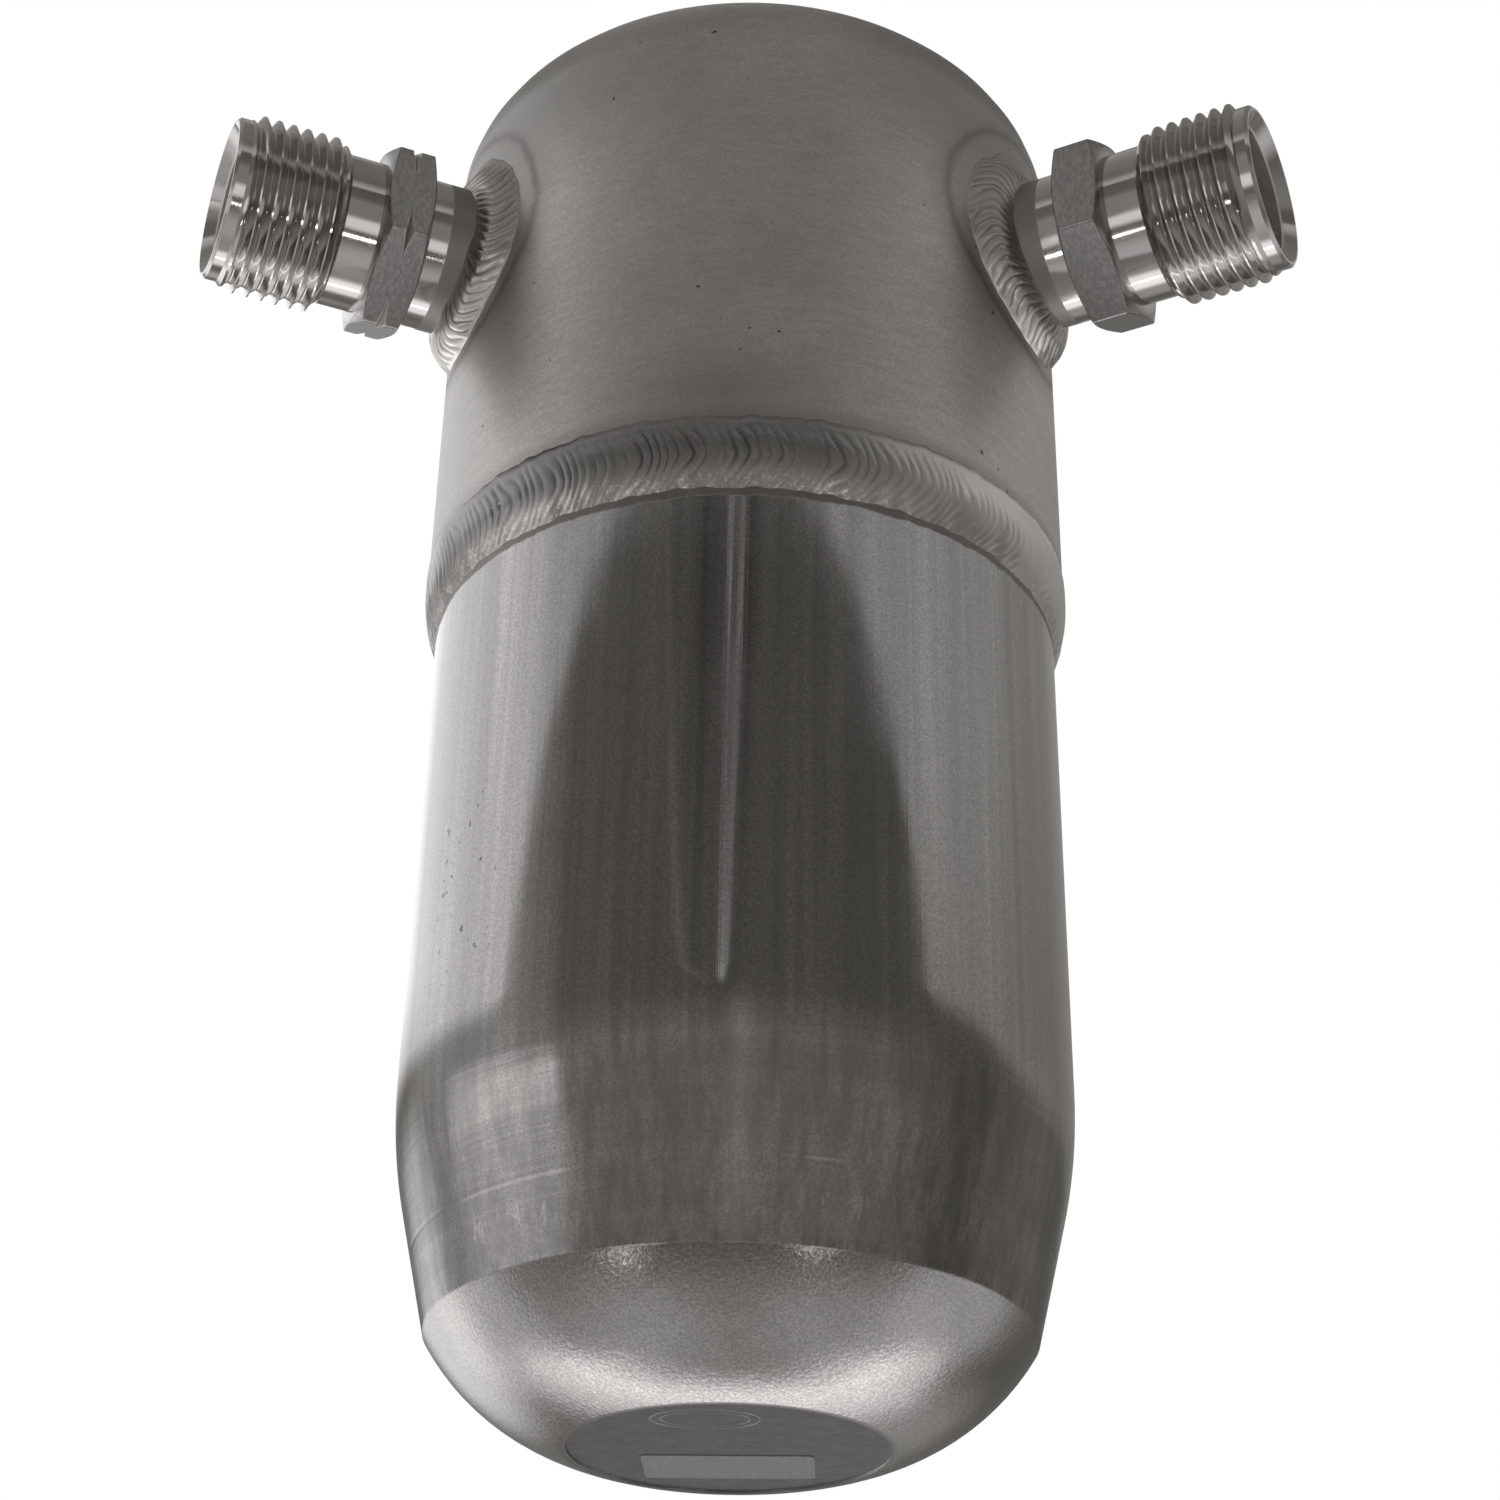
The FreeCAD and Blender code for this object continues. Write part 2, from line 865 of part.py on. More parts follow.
def check(parts):
    for thing in document.Objects:
        if "Invalid" in thing.State or "Error" in thing.State:
            raise RuntimeError("failed: " + thing.Name)
    for part in parts:
        if part.Shape.isNull() or not part.Shape.isValid() or len(part.Shape.Solids) != 1:
            raise RuntimeError("not one sound solid: " + part.Label)


def main():
    fill_sheet()
    parts = make_parts()
    document.recompute()
    check(parts)
    os.makedirs("parts", exist_ok=True)
    for part in parts:
        part.Shape.exportStep(os.path.join("parts", part.Label + ".step"))
        print("%-24s %10.1f mm3" % (part.Label, part.Shape.Volume))


main()
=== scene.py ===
import math

import bmesh
import bpy
import numpy as np
from mathutils import Matrix, Vector


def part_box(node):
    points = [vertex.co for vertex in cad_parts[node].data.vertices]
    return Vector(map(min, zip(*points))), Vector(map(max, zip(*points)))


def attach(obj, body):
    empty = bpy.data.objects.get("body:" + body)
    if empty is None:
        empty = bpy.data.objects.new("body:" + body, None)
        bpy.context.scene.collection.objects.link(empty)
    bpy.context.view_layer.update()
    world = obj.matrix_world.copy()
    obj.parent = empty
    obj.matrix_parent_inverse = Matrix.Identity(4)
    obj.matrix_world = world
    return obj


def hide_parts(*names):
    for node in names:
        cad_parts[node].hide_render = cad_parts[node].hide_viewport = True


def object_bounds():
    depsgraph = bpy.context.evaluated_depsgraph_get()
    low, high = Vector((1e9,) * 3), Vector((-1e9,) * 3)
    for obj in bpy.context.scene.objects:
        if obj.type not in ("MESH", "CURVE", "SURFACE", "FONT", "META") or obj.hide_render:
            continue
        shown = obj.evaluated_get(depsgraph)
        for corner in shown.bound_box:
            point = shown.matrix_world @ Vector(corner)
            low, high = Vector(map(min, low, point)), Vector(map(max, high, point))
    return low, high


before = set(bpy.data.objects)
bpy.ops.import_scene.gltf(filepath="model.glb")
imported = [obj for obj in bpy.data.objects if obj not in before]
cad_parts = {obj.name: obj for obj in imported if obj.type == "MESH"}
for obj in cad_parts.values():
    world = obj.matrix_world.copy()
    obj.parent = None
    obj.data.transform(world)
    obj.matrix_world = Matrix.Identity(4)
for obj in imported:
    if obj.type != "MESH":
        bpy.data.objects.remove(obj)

# Dressed model of a welded aluminium filter drier. Sizes are millimetres until a mesh is made.

MM = 0.001
CAD_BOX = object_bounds()
FULL_TURN = 2 * math.pi
INLET = -1
OUTLET = 1
PORTS = (("inlet", INLET), ("outlet", OUTLET))

can_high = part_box("lower_can")[1]
head_low, head_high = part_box("upper_head")
bead_low, bead_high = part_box("girth_weld")
CAN_RADIUS = can_high.x / MM
CAN_TOP = can_high.z / MM
HEAD_RADIUS = head_high.x / MM
HEAD_LIP = head_low.z / MM
HEAD_TOP = head_high.z / MM
GIRTH_LOW = bead_low.z / MM
GIRTH_HIGH = bead_high.z / MM

# Sizes that the solids have too. A radius or a flat is half the size across.
CAN_WALL = 2.0
DOME_RIM_RADIUS = CAN_RADIUS - 4.8
DOME_RIM_HEIGHT = 11.4
DOME_RADIUS = 26.0
BASE_RADIUS = DOME_RIM_RADIUS - 15.2
BASE_RIM = 0.8
BASE_RECESS = 0.25
RECESS_DRAFT = 0.1
TAPER_TOP = 32.0
TAPER_INSET = CAN_RADIUS - DOME_RIM_RADIUS
TAPER_HEIGHT = TAPER_TOP - DOME_RIM_HEIGHT
FOLD_RUN = 7.0
HEAD_WALL = 1.45
HEAD_KNUCKLE = 10.6
GIRTH_ARC = 13.0
PORT_HEIGHT = HEAD_TOP - 28.8
PORT_LEAN = math.radians(25.0)
PORT_START = HEAD_RADIUS - HEAD_WALL - 1.0
NECK_RADIUS = 9.4
PORT_FIT = 0.1
HEX_FOOT = HEAD_RADIUS + 7.3
HEX_TOP = HEX_FOOT + 6.0
HEX_FLAT = 11.1
HEX_FACE_RADIUS = 10.6
HEX_CHAMFER = 1.2
HEX_CLEAR = HEX_FLAT / math.cos(math.pi / 6) + HEX_CHAMFER
NOTCH_HALF = 1.1
NOTCH_ROOT = HEX_FLAT + 0.4
THREAD_RADIUS = 11.1
THREAD_FOOT = HEX_TOP + 4.4
THREAD_TOP = THREAD_FOOT + 12.7
THREAD_PITCH = 25.4 / 14
THREAD_DEPTH = 0.613 * THREAD_PITCH
THREAD_ROUND = 0.09
THREAD_LEAD_IN, THREAD_LEAD_OUT = 0.9, 1.2
RELIEF_RADIUS = THREAD_RADIUS - 1.55
COLLAR_RADIUS = THREAD_RADIUS - 0.9
COLLAR_EDGE = 0.4
PORT_MOUTH = THREAD_TOP + 1.7
PILOT_RADIUS = 8.0
PILOT_DEPTH = 16.0
MOUTH_CHAMFER = 1.5
FLOW_RADIUS = 5.35
SOCKET_RADIUS = 6.45
SOCKET_END = PORT_START + 5.5
PORT_BEAD_WIDTH = 4.9
PORT_BEAD_HEIGHT = 3.1

# How fine the meshes are, how their beads ripple and where their shading turns sharp.
JOIN_DISTANCE = 0.002
CORNER_GAP = 0.2
LATHE_COLUMNS = 288
DRILL_COLUMNS = 96
GIRTH_COLUMNS, GIRTH_ROWS, GIRTH_RIPPLES, GIRTH_SEED = 1728, 26, 196, 11
PORT_BEAD_COLUMNS, PORT_BEAD_ROWS, PORT_BEAD_RIPPLES = 720, 24, 56
PORT_BEAD_SEEDS = {INLET: 23, OUTLET: 31}
GIRTH_RIPPLE_DEPTH = 0.085
PORT_BEAD_RIPPLE_DEPTH = 0.15
SMOOTH_ANGLE = 30.0
BEAD_SMOOTH_ANGLE = 60.0
PORT_SMOOTH_ANGLE = 26.0

# Tone of soot and tarnish, which is warmer than clean metal.
SOOT_WARMTH = 0.045

# The empty oval ring on the base: its middle, and half the width and length of its two lines.
STAMP_CENTRE = (-2, -11)
STAMP = ((5.65, 3.5), (4.6, 2.6))


# Meshes


def trace(corners, step):
    """Points along lines and arcs, with a point close to each side of every corner.

    A corner is (x, y), or (x, y, radius, turn) where an arc leads to it; turn is 1 anticlockwise.
    """
    points = [np.array(corners[0][:2], float)]
    for corner in corners[1:]:
        start, end = points[-1], np.array(corner[:2], float)
        length = np.linalg.norm(end - start)
        shares = np.linspace(0, 1, max(2, math.ceil(length / step) + 1))
        if length > CORNER_GAP * 4:
            beside = (CORNER_GAP / length, 1 - CORNER_GAP / length)
            shares = np.unique(np.concatenate((shares, beside)))
        if len(corner) == 4:
            radius, turn = corner[2:]
            chord = end - start
            left = np.array((-chord[1], chord[0])) / length
            centre = (start + end) / 2 + left * turn * math.sqrt(radius ** 2 - length ** 2 / 4)
            first = math.atan2(*(start - centre)[::-1])
            sweep = 2 * math.asin(length / 2 / radius) * turn
            angles = first + sweep * shares[1:]
            points += [centre + radius * np.array((math.cos(a), math.sin(a))) for a in angles]
        else:
            points += [start + (end - start) * share for share in shares[1:]]
    return np.array(points)


def make_mesh(name, vertices, faces, sharp=SMOOTH_ANGLE, placement=None, sunk=None):
    """Mesh object from millimetre points: coincident points are joined and normals face out.

    A placement moves the points, and their places before it are kept as own_place for materials.
    Values in sunk, one for each point, are kept under that name.
    """
    mesh = bpy.data.meshes.new(name)
    build = bmesh.new()
    layer = None if sunk is None else build.verts.layers.float.new("sunk")
    corners = [build.verts.new(Vector(vertex) * MM) for vertex in vertices]
    if layer is not None:
        for corner, value in zip(corners, sunk):
            corner[layer] = value
    for face in faces:
        build.faces.new([corners[index] for index in face])
    bmesh.ops.remove_doubles(build, verts=build.verts, dist=JOIN_DISTANCE * MM)
    bmesh.ops.recalc_face_normals(build, faces=build.faces)
    build.to_mesh(mesh)
    build.free()
    mesh.shade_smooth()
    if placement is not None:
        own = mesh.attributes.new("own_place", "FLOAT_VECTOR", "POINT")
        places = np.empty(len(mesh.vertices) * 3, np.float32)
        mesh.vertices.foreach_get("co", places)
        own.data.foreach_set("vector", places)
        mesh.transform(placement)
    mesh.set_sharp_from_angle(angle=math.radians(sharp))
    piece = bpy.data.objects.new(name, mesh)
    bpy.context.scene.collection.objects.link(piece)
    return piece


def ring_faces(rows, columns, closed_rows=True):
    """Quads of a grid that closes round its columns, and round its rows if asked."""
    faces = []
    for row in range(rows if closed_rows else rows - 1):
        above = (row + 1) % rows
        for column in range(columns):
            beside = (column + 1) % columns
            faces.append((row * columns + column, row * columns + beside,
                          above * columns + beside, above * columns + column))
    return faces


def lathe(name, profile, columns):
    """Turn a closed profile of (radius, height) about the Z axis."""
    angles = np.linspace(0, FULL_TURN, columns, endpoint=False)
    radius, height = profile[:, :1], profile[:, 1:]
    grid = np.stack((radius * np.cos(angles), radius * np.sin(angles),
                     height + 0 * angles), axis=-1)
    return make_mesh(name, grid.reshape(-1, 3), ring_faces(len(profile), columns))


def smooth(low, high, value):
    """0 below low and 1 above high, with a soft step between them."""
    share = np.clip((value - low) / (high - low), 0, 1)
    return share * share * (3 - 2 * share)


def wander(angle, turns, draw):
    """Slow random wave round a full turn, about 1 high."""
    total = np.zeros_like(angle)
    for count in turns:
        total += np.sin(count * angle + draw.uniform(0, FULL_TURN))
    return total / math.sqrt(len(turns))


def ripple(angle, across, count, lead, apex, draw, uneven):
    """Depth of a weld's ripples: 0 on a crest and 1 in the valley between two.

    Each ripple runs ahead by lead ripples at its apex, a share of the way across the bead.
    Uneven says by how many ripples their places wander.
    """
    drift = wander(angle, (5, 11, 17, 29, 43), draw) * uneven
    off_apex = np.where(across < apex, (apex - across) / apex, (across - apex) / (1 - apex))
    bow = lead * (1 - off_apex ** 1.6)
    phase = count * angle / FULL_TURN + drift - bow
    return (1 - np.abs(np.sin(math.pi * phase))) ** 1.2


def port_placement(side):
    bearing = -PORT_LEAN if side == OUTLET else math.pi + PORT_LEAN
    lift = Matrix.Translation((0, 0, PORT_HEIGHT * MM))
    return lift @ Matrix.Rotation(bearing, 4, "Z")


# Pieces


def make_can():
    """Drawn cup with a coined base, a domed edge, a crisp rim, a taper and a straight wall."""
    inner_rim = DOME_RIM_RADIUS - CAN_WALL
    floor = CAN_WALL + BASE_RECESS
    recess = BASE_RADIUS - BASE_RIM
    slope = math.hypot(TAPER_INSET, TAPER_HEIGHT)
    fold_radius = FOLD_RUN * (slope + TAPER_HEIGHT) / TAPER_INSET
    fold_foot = CAN_RADIUS - TAPER_INSET * FOLD_RUN / slope
    fold_low = TAPER_TOP - TAPER_HEIGHT * FOLD_RUN / slope
    profile = trace([
        (0, BASE_RECESS),
        (recess, BASE_RECESS),
        (recess + RECESS_DRAFT, 0),
        (BASE_RADIUS, 0),
        (DOME_RIM_RADIUS, DOME_RIM_HEIGHT, DOME_RADIUS, 1),
        (fold_foot, fold_low),
        (CAN_RADIUS, TAPER_TOP + FOLD_RUN, fold_radius, 1),
        (CAN_RADIUS, CAN_TOP),
        (CAN_RADIUS - CAN_WALL, CAN_TOP),
        (CAN_RADIUS - CAN_WALL, TAPER_TOP + FOLD_RUN),
        (fold_foot - CAN_WALL, fold_low, fold_radius - CAN_WALL, -1),
        (inner_rim, DOME_RIM_HEIGHT + CAN_WALL / 2),
        (BASE_RADIUS, floor, DOME_RADIUS - CAN_WALL, -1),
        (0, floor),
    ], step=1.5)
    return lathe("can_shell", profile, LATHE_COLUMNS)


def make_head():
    """Cup turned mouth down, with a hole for each port."""
    shoulder = HEAD_TOP - HEAD_KNUCKLE
    crown = HEAD_RADIUS - HEAD_KNUCKLE
    bore = HEAD_RADIUS - HEAD_WALL
    profile = trace([
        (bore, HEAD_LIP),
        (HEAD_RADIUS, HEAD_LIP),
        (HEAD_RADIUS, shoulder),
        (crown, HEAD_TOP, HEAD_KNUCKLE, 1),
        (0, HEAD_TOP),
        (0, HEAD_TOP - HEAD_WALL),
        (crown, HEAD_TOP - HEAD_WALL),
        (bore, shoulder, HEAD_KNUCKLE - HEAD_WALL, -1),
        (bore, HEAD_LIP),
    ], step=2.0)[:-1]
    head = lathe("head_shell", profile, LATHE_COLUMNS)
    for side in (INLET, OUTLET):
        drill(head, side, NECK_RADIUS + PORT_FIT)
    return head


def drill(piece, side, radius):
    """Cut a round hole through the piece along a port's axis."""
    profile = np.array([(0, 0), (radius, 0), (radius, HEX_FOOT), (0, HEX_FOOT)])
    cutter = lathe("cutter", profile, DRILL_COLUMNS)
    along_port = Matrix.Rotation(math.pi / 2, 4, "Y")
    cutter.matrix_world = port_placement(side) @ along_port
    cut = piece.modifiers.new("hole", "BOOLEAN")
    cut.object = cutter
    cut.solver = "EXACT"
    bpy.context.view_layer.update()
    seen = piece.evaluated_get(bpy.context.evaluated_depsgraph_get())
    drilled = bpy.data.meshes.new_from_object(seen)
    piece.modifiers.clear()
    piece.data = drilled
    drilled.set_sharp_from_angle(angle=math.radians(SMOOTH_ANGLE))
    bpy.data.objects.remove(cutter)


def make_girth_bead():
    """Rippled bead round the head's lip, no larger than the plain bead under it."""
    columns = GIRTH_COLUMNS
    draw = np.random.default_rng(GIRTH_SEED)
    angle = np.linspace(0, FULL_TURN, columns, endpoint=False)
    arc = trace([(CAN_RADIUS, GIRTH_LOW), (HEAD_RADIUS, GIRTH_HIGH, GIRTH_ARC, 1)], step=0.1)
    across = np.linspace(0, 1, GIRTH_ROWS)
    along = np.linspace(0, 1, len(arc))
    radius = np.interp(across, along, arc[:, 0])[:, None]
    height = np.interp(across, along, arc[:, 1])[:, None]
    share = across[:, None]
    edge_wander = 0.16
    low_edge = edge_wander * wander(angle, (7, 19, 31, 53, 83), draw) * (1 - share)
    high_edge = edge_wander * wander(angle, (5, 13, 37, 61, 97), draw) * share
    depth = ripple(angle, share, GIRTH_RIPPLES, 2.5, 0.45, draw, uneven=0.4)
    strength = smooth(0, 0.05, share) * (1 - 0.9 * smooth(0.74, 0.84, share))
    strength = strength * (1 + 0.4 * wander(angle, (4, 9, 22, 47), draw))
    hollow = 0.05 * (1 + wander(angle, (3, 8, 15), draw) * 0.4)
    lip = 0.1 * smooth(0.78, 0.9, share) * (1 - 1.6 * smooth(0.95, 1, share))
    hollow = hollow * smooth(0, 0.3, share) * (1 - share)
    radius = radius + lip - GIRTH_RIPPLE_DEPTH * depth * strength - hollow
    radius = np.minimum(radius, arc[:, 0].max() - 0.01)
    height = height + low_edge + high_edge
    sunk = np.vstack([depth * strength, np.zeros((4, columns))])
    inner = [(HEAD_RADIUS - 0.1, GIRTH_HIGH - 1), (HEAD_RADIUS - 0.1, HEAD_LIP + 0.1),
             (CAN_RADIUS - 0.05, HEAD_LIP), (CAN_RADIUS - 0.05, GIRTH_LOW + 0.5)]
    radius = np.vstack([radius + 0 * angle] + [np.full(columns, place[0]) for place in inner])
    height = np.vstack([height + 0 * angle] + [np.full(columns, place[1]) for place in inner])
    grid = np.stack((radius * np.cos(angle), radius * np.sin(angle), height), axis=-1)
    return make_mesh("girth_bead", grid.reshape(-1, 3), ring_faces(len(grid), columns),
                     BEAD_SMOOTH_ANGLE, sunk=sunk.ravel())


def make_port_bead(label, side):
    """Rippled bead that slopes from a port's neck down to the head, with a smooth end on top."""
    columns = PORT_BEAD_COLUMNS
    draw = np.random.default_rng(PORT_BEAD_SEEDS[side])
    angle = np.linspace(0, FULL_TURN, columns, endpoint=False)
    share = np.linspace(0, 1, PORT_BEAD_ROWS)[:, None]
    from_top = np.abs(np.angle(np.exp(1j * (angle - math.pi / 2))))
    crater = 1 - smooth(0.35, 0.75, from_top)
    width = PORT_BEAD_WIDTH - 0.3 + 0.15 * wander(angle, (2, 5, 9, 23), draw) + 0.8 * crater
    crown = PORT_BEAD_HEIGHT - 0.15 + 0.1 * wander(angle, (3, 7, 13), draw)
    swell = (0.75 - 1.1 * crater) * np.sin(math.pi * share)
    depth = ripple(angle, share, PORT_BEAD_RIPPLES, -1.6, 0.5, draw, uneven=0.12)
    strength = smooth(0, 0.12, share) * (1 - smooth(0.88, 1, share)) * (1 - 0.93 * crater)
    strength = strength * (1 + 0.15 * wander(angle, (4, 11, 19), draw))
    outward = swell - PORT_BEAD_RIPPLE_DEPTH * depth * strength
    reach = width * share + outward * 0.55
    rise = crown * (1 - share) + outward * 0.85
    radius = NECK_RADIUS - 0.05 + reach
    radius = np.vstack([radius, radius[-1:], np.full((1, columns), NECK_RADIUS + 0.02)])
    rise = np.vstack([rise, np.full((2, columns), -0.4)])
    sunk = np.vstack([depth * strength, np.zeros((2, columns))])
    sideways = radius * np.cos(angle)
    station = np.sqrt(HEAD_RADIUS ** 2 - sideways ** 2) + rise
    grid = np.stack((station, sideways, radius * np.sin(angle)), axis=-1)
    return make_mesh(label, grid.reshape(-1, 3), ring_faces(len(grid), columns),
                     BEAD_SMOOTH_ANGLE, port_placement(side), sunk.ravel())


def hexagon_radius(angle):
    """Radius of the hexagon with a corner up and slightly rounded corners."""
    off_corner = (angle - math.pi / 6) % (math.pi / 3)
    off_corner = np.minimum(off_corner, math.pi / 3 - off_corner)
    plain = HEX_FLAT / np.cos(math.pi / 6 - off_corner)
    rounding = 0.25
    to_centre = (HEX_FLAT - rounding) / math.cos(math.pi / 6)
    under_root = np.maximum(rounding ** 2 - (to_centre * np.sin(off_corner)) ** 2, 0)
    rounded = to_centre * np.cos(off_corner) + np.sqrt(under_root)
    return np.where(under_root > 0, np.minimum(plain, rounded), plain)


def port_angles():
    """Column angles round a port, closer together at the hexagon's corners."""
    angles = list(np.arange(0, 360, 2.0))
    for corner in range(30, 390, 60):
        angles += [corner + offset for offset in (-0.9, -0.45, 0.45, 0.9)]
    return np.radians(sorted(angles))


def thread_rows(angles):
    """Rows that follow the helix, pulled in to the relief and the collar at its ends."""
    crest, root = THREAD_RADIUS, THREAD_RADIUS - THREAD_DEPTH
    near_root = root + THREAD_ROUND
    turn_profile = [(0.0, crest), (0.1, crest), (0.26, (crest + near_root) / 2),
                    (0.42, near_root), (0.5, root), (0.58, near_root),
                    (0.79, (crest + near_root) / 2)]
    turns = math.ceil((THREAD_TOP - THREAD_FOOT) / THREAD_PITCH) + 2
    stations, radii = [], []
    for turn in range(turns):
        for phase, radius in turn_profile:
            raw = THREAD_FOOT + THREAD_PITCH * (turn - 1 + phase + angles / FULL_TURN)
            lead_in = COLLAR_RADIUS + THREAD_LEAD_IN * (THREAD_TOP - raw)
            lead_out = RELIEF_RADIUS + THREAD_LEAD_OUT * (raw - THREAD_FOOT)
            cut = np.minimum(radius, np.minimum(lead_in, lead_out))
            cut = np.where(raw <= THREAD_FOOT, RELIEF_RADIUS, cut)
            cut = np.where(raw >= THREAD_TOP, COLLAR_RADIUS, cut)
            stations.append(np.clip(raw, THREAD_FOOT, THREAD_TOP))
            radii.append(cut)
    return stations, radii, len(turn_profile)


def hexagon_rows(angles, notched):
    """Rows of the chamfered hexagon; the notch takes only what stands above its root."""
    outline = hexagon_radius(angles)
    run = (outline - HEX_FACE_RADIUS) * HEX_CHAMFER / (HEX_CLEAR - HEX_FACE_RADIUS)
    soft_run, soft_rise = 0.09, 0.09
    rows = [(HEX_FOOT + 0 * run, HEX_FACE_RADIUS + 0 * run),
            (HEX_FOOT + run - soft_run / 3, outline - soft_rise),
            (HEX_FOOT + run + soft_run, outline)]
    if notched:
        middle = (HEX_FOOT + HEX_TOP) / 2
        over = np.maximum(outline - NOTCH_ROOT, 0)
        half = over * NOTCH_HALF / (HEX_CLEAR - NOTCH_ROOT)
        rows += [(middle - half, outline), (middle + 0 * half, np.minimum(outline, NOTCH_ROOT)),
                 (middle + half, outline)]
    rows += [(HEX_TOP - run - soft_run, outline),
             (HEX_TOP - run + soft_run / 3, outline - soft_rise),
             (HEX_TOP + 0 * run, HEX_FACE_RADIUS + 0 * run)]
    return rows


def make_port(label, side):
    """Turned port with a hexagon, a rolled helical thread, a collar and a stepped bore."""
    angles = port_angles()
    columns = len(angles)
    level = 0 * angles
    pilot_floor = PORT_MOUTH - PILOT_DEPTH
    before = [(PORT_START, NECK_RADIUS), (HEX_FOOT, NECK_RADIUS)]
    before += hexagon_rows(angles, side == INLET)
    before += [(HEX_TOP, RELIEF_RADIUS), (THREAD_FOOT, RELIEF_RADIUS)]
    after = [(THREAD_TOP, COLLAR_RADIUS), (PORT_MOUTH - COLLAR_EDGE, COLLAR_RADIUS),
             (PORT_MOUTH, COLLAR_RADIUS - COLLAR_EDGE),
             (PORT_MOUTH, PILOT_RADIUS + MOUTH_CHAMFER),
             (PORT_MOUTH - MOUTH_CHAMFER, PILOT_RADIUS), (pilot_floor, PILOT_RADIUS),
             (pilot_floor - PILOT_RADIUS + FLOW_RADIUS, FLOW_RADIUS)]
    if side == OUTLET:
        after += [(SOCKET_END, FLOW_RADIUS), (SOCKET_END, SOCKET_RADIUS),
                  (PORT_START, SOCKET_RADIUS)]
    else:
        after += [(PORT_START, FLOW_RADIUS)]
    after += before[:1]
    thread_stations, thread_radii, per_turn = thread_rows(angles)
    blocks = [tuple(np.array([row[part] + level for row in block]) for part in (0, 1))
              for block in (before, after)]
    blocks.append((np.array(thread_stations), np.array(thread_radii)))
    vertices, faces = [], []
    for number, (stations, radii) in enumerate(blocks):
        first = len(vertices)
        grid = np.stack((stations, radii * np.cos(angles), radii * np.sin(angles)), axis=-1)
        vertices.extend(grid.reshape(-1, 3))
        if number == len(blocks) - 1:
            block_faces = helix_faces(len(grid), columns, per_turn)
        else:
            block_faces = ring_faces(len(grid), columns, closed_rows=False)
        faces += [tuple(first + index for index in face) for face in block_faces]
    return make_mesh(label, vertices, faces, PORT_SMOOTH_ANGLE, port_placement(side))


def helix_faces(rows, columns, per_turn):
    """Quads of a grid whose last column joins the first one a turn further on."""
    faces = []
    for row in range(rows - 1):
        for column in range(columns):
            shift = per_turn if column == columns - 1 else 0
            if row + 1 + shift >= rows:
                continue
            beside = (column + 1) % columns
            faces.append((row * columns + column, (row + shift) * columns + beside,
                          (row + 1 + shift) * columns + beside, (row + 1) * columns + column))
    return faces


def make_label():
    """Blank paper label on the base, with round corners."""
    width, length, corner, thickness = 18.6, 9.0, 0.7, 0.09
    centre = np.array((-0.3, 7.0))
    outline = []
    for number, (right, far) in enumerate(((1, 1), (-1, 1), (-1, -1), (1, -1))):
        pivot = centre + np.array((right * (width / 2 - corner), far * (length / 2 - corner)))
        for angle in np.radians(np.linspace(number * 90, number * 90 + 90, 7)):
            outline.append(pivot + corner * np.array((math.cos(angle), math.sin(angle))))
    count = len(outline)
    vertices = [(x, y, BASE_RECESS - 0.01 - level) for level in (0, thickness) for x, y in outline]
    faces = [tuple(range(count)), tuple(range(count, 2 * count))]
    faces += [(index, (index + 1) % count, count + (index + 1) % count, count + index)
              for index in range(count)]
    return make_mesh("base_label", vertices, faces)


# Nodes of the materials. Textures work in metres, and heights and distances in millimetres.


NUMBER_RESULTS = "LENGTH", "DISTANCE", "DOT_PRODUCT"


def put(tree, kind, inputs=None, **settings):
    """Add a node; an input is a number, a colour or another node's output."""
    node = tree.nodes.new("ShaderNode" + kind)
    for name, value in settings.items():
        setattr(node, name, value)
    for name, value in (inputs or {}).items():
        socket = node.inputs[name]
        if isinstance(value, bpy.types.NodeSocket):
            tree.links.new(value, socket)
        else:
            socket.default_value = value
    return node


def calc(tree, operation, first, second=0.0, third=0.0):
    node = put(tree, "Math", {0: first, 1: second, 2: third}, operation=operation)
    return node.outputs[0]


def product(tree, *values):
    """All the values multiplied."""
    result = values[0]
    for value in values[1:]:
        result = calc(tree, "MULTIPLY", result, value)
    return result


def remap(tree, value, low, high, to_low=0.0, to_high=1.0, soft=True):
    node = put(tree, "MapRange", {"Value": value, "From Min": low, "From Max": high,
                                  "To Min": to_low, "To Max": to_high},
               interpolation_type="SMOOTHSTEP" if soft else "LINEAR")
    return node.outputs["Result"]


def vector_calc(tree, operation, first, second=(0, 0, 0)):
    """Outcome of an operation on vectors: a vector, or a number for NUMBER_RESULTS."""
    node = put(tree, "VectorMath", {0: first, 1: second}, operation=operation)
    return node.outputs["Value" if operation in NUMBER_RESULTS else "Vector"]


def scaled(tree, vector, scale):
    """The vector times a scale for each axis."""
    return vector_calc(tree, "MULTIPLY", vector, scale)


def millimetres(tree, place):
    """A place in metres as millimetres."""
    return scaled(tree, place, (1 / MM, 1 / MM, 1 / MM))


def split(tree, vector):
    """X, Y and Z of a vector."""
    return put(tree, "SeparateXYZ", {"Vector": vector}).outputs[:]


def noise(tree, vector, scale, detail, roughness=0.55):
    node = put(tree, "TexNoise", {"Vector": vector, "Scale": scale, "Detail": detail,
                                  "Roughness": roughness})
    return node.outputs["Fac"]


def blend_colour(tree, factor, first, second):
    """The first colour where the factor is 0 and the second where it is 1."""
    node = put(tree, "Mix", {0: factor, 6: first, 7: second}, data_type="RGBA")
    return node.outputs[2]


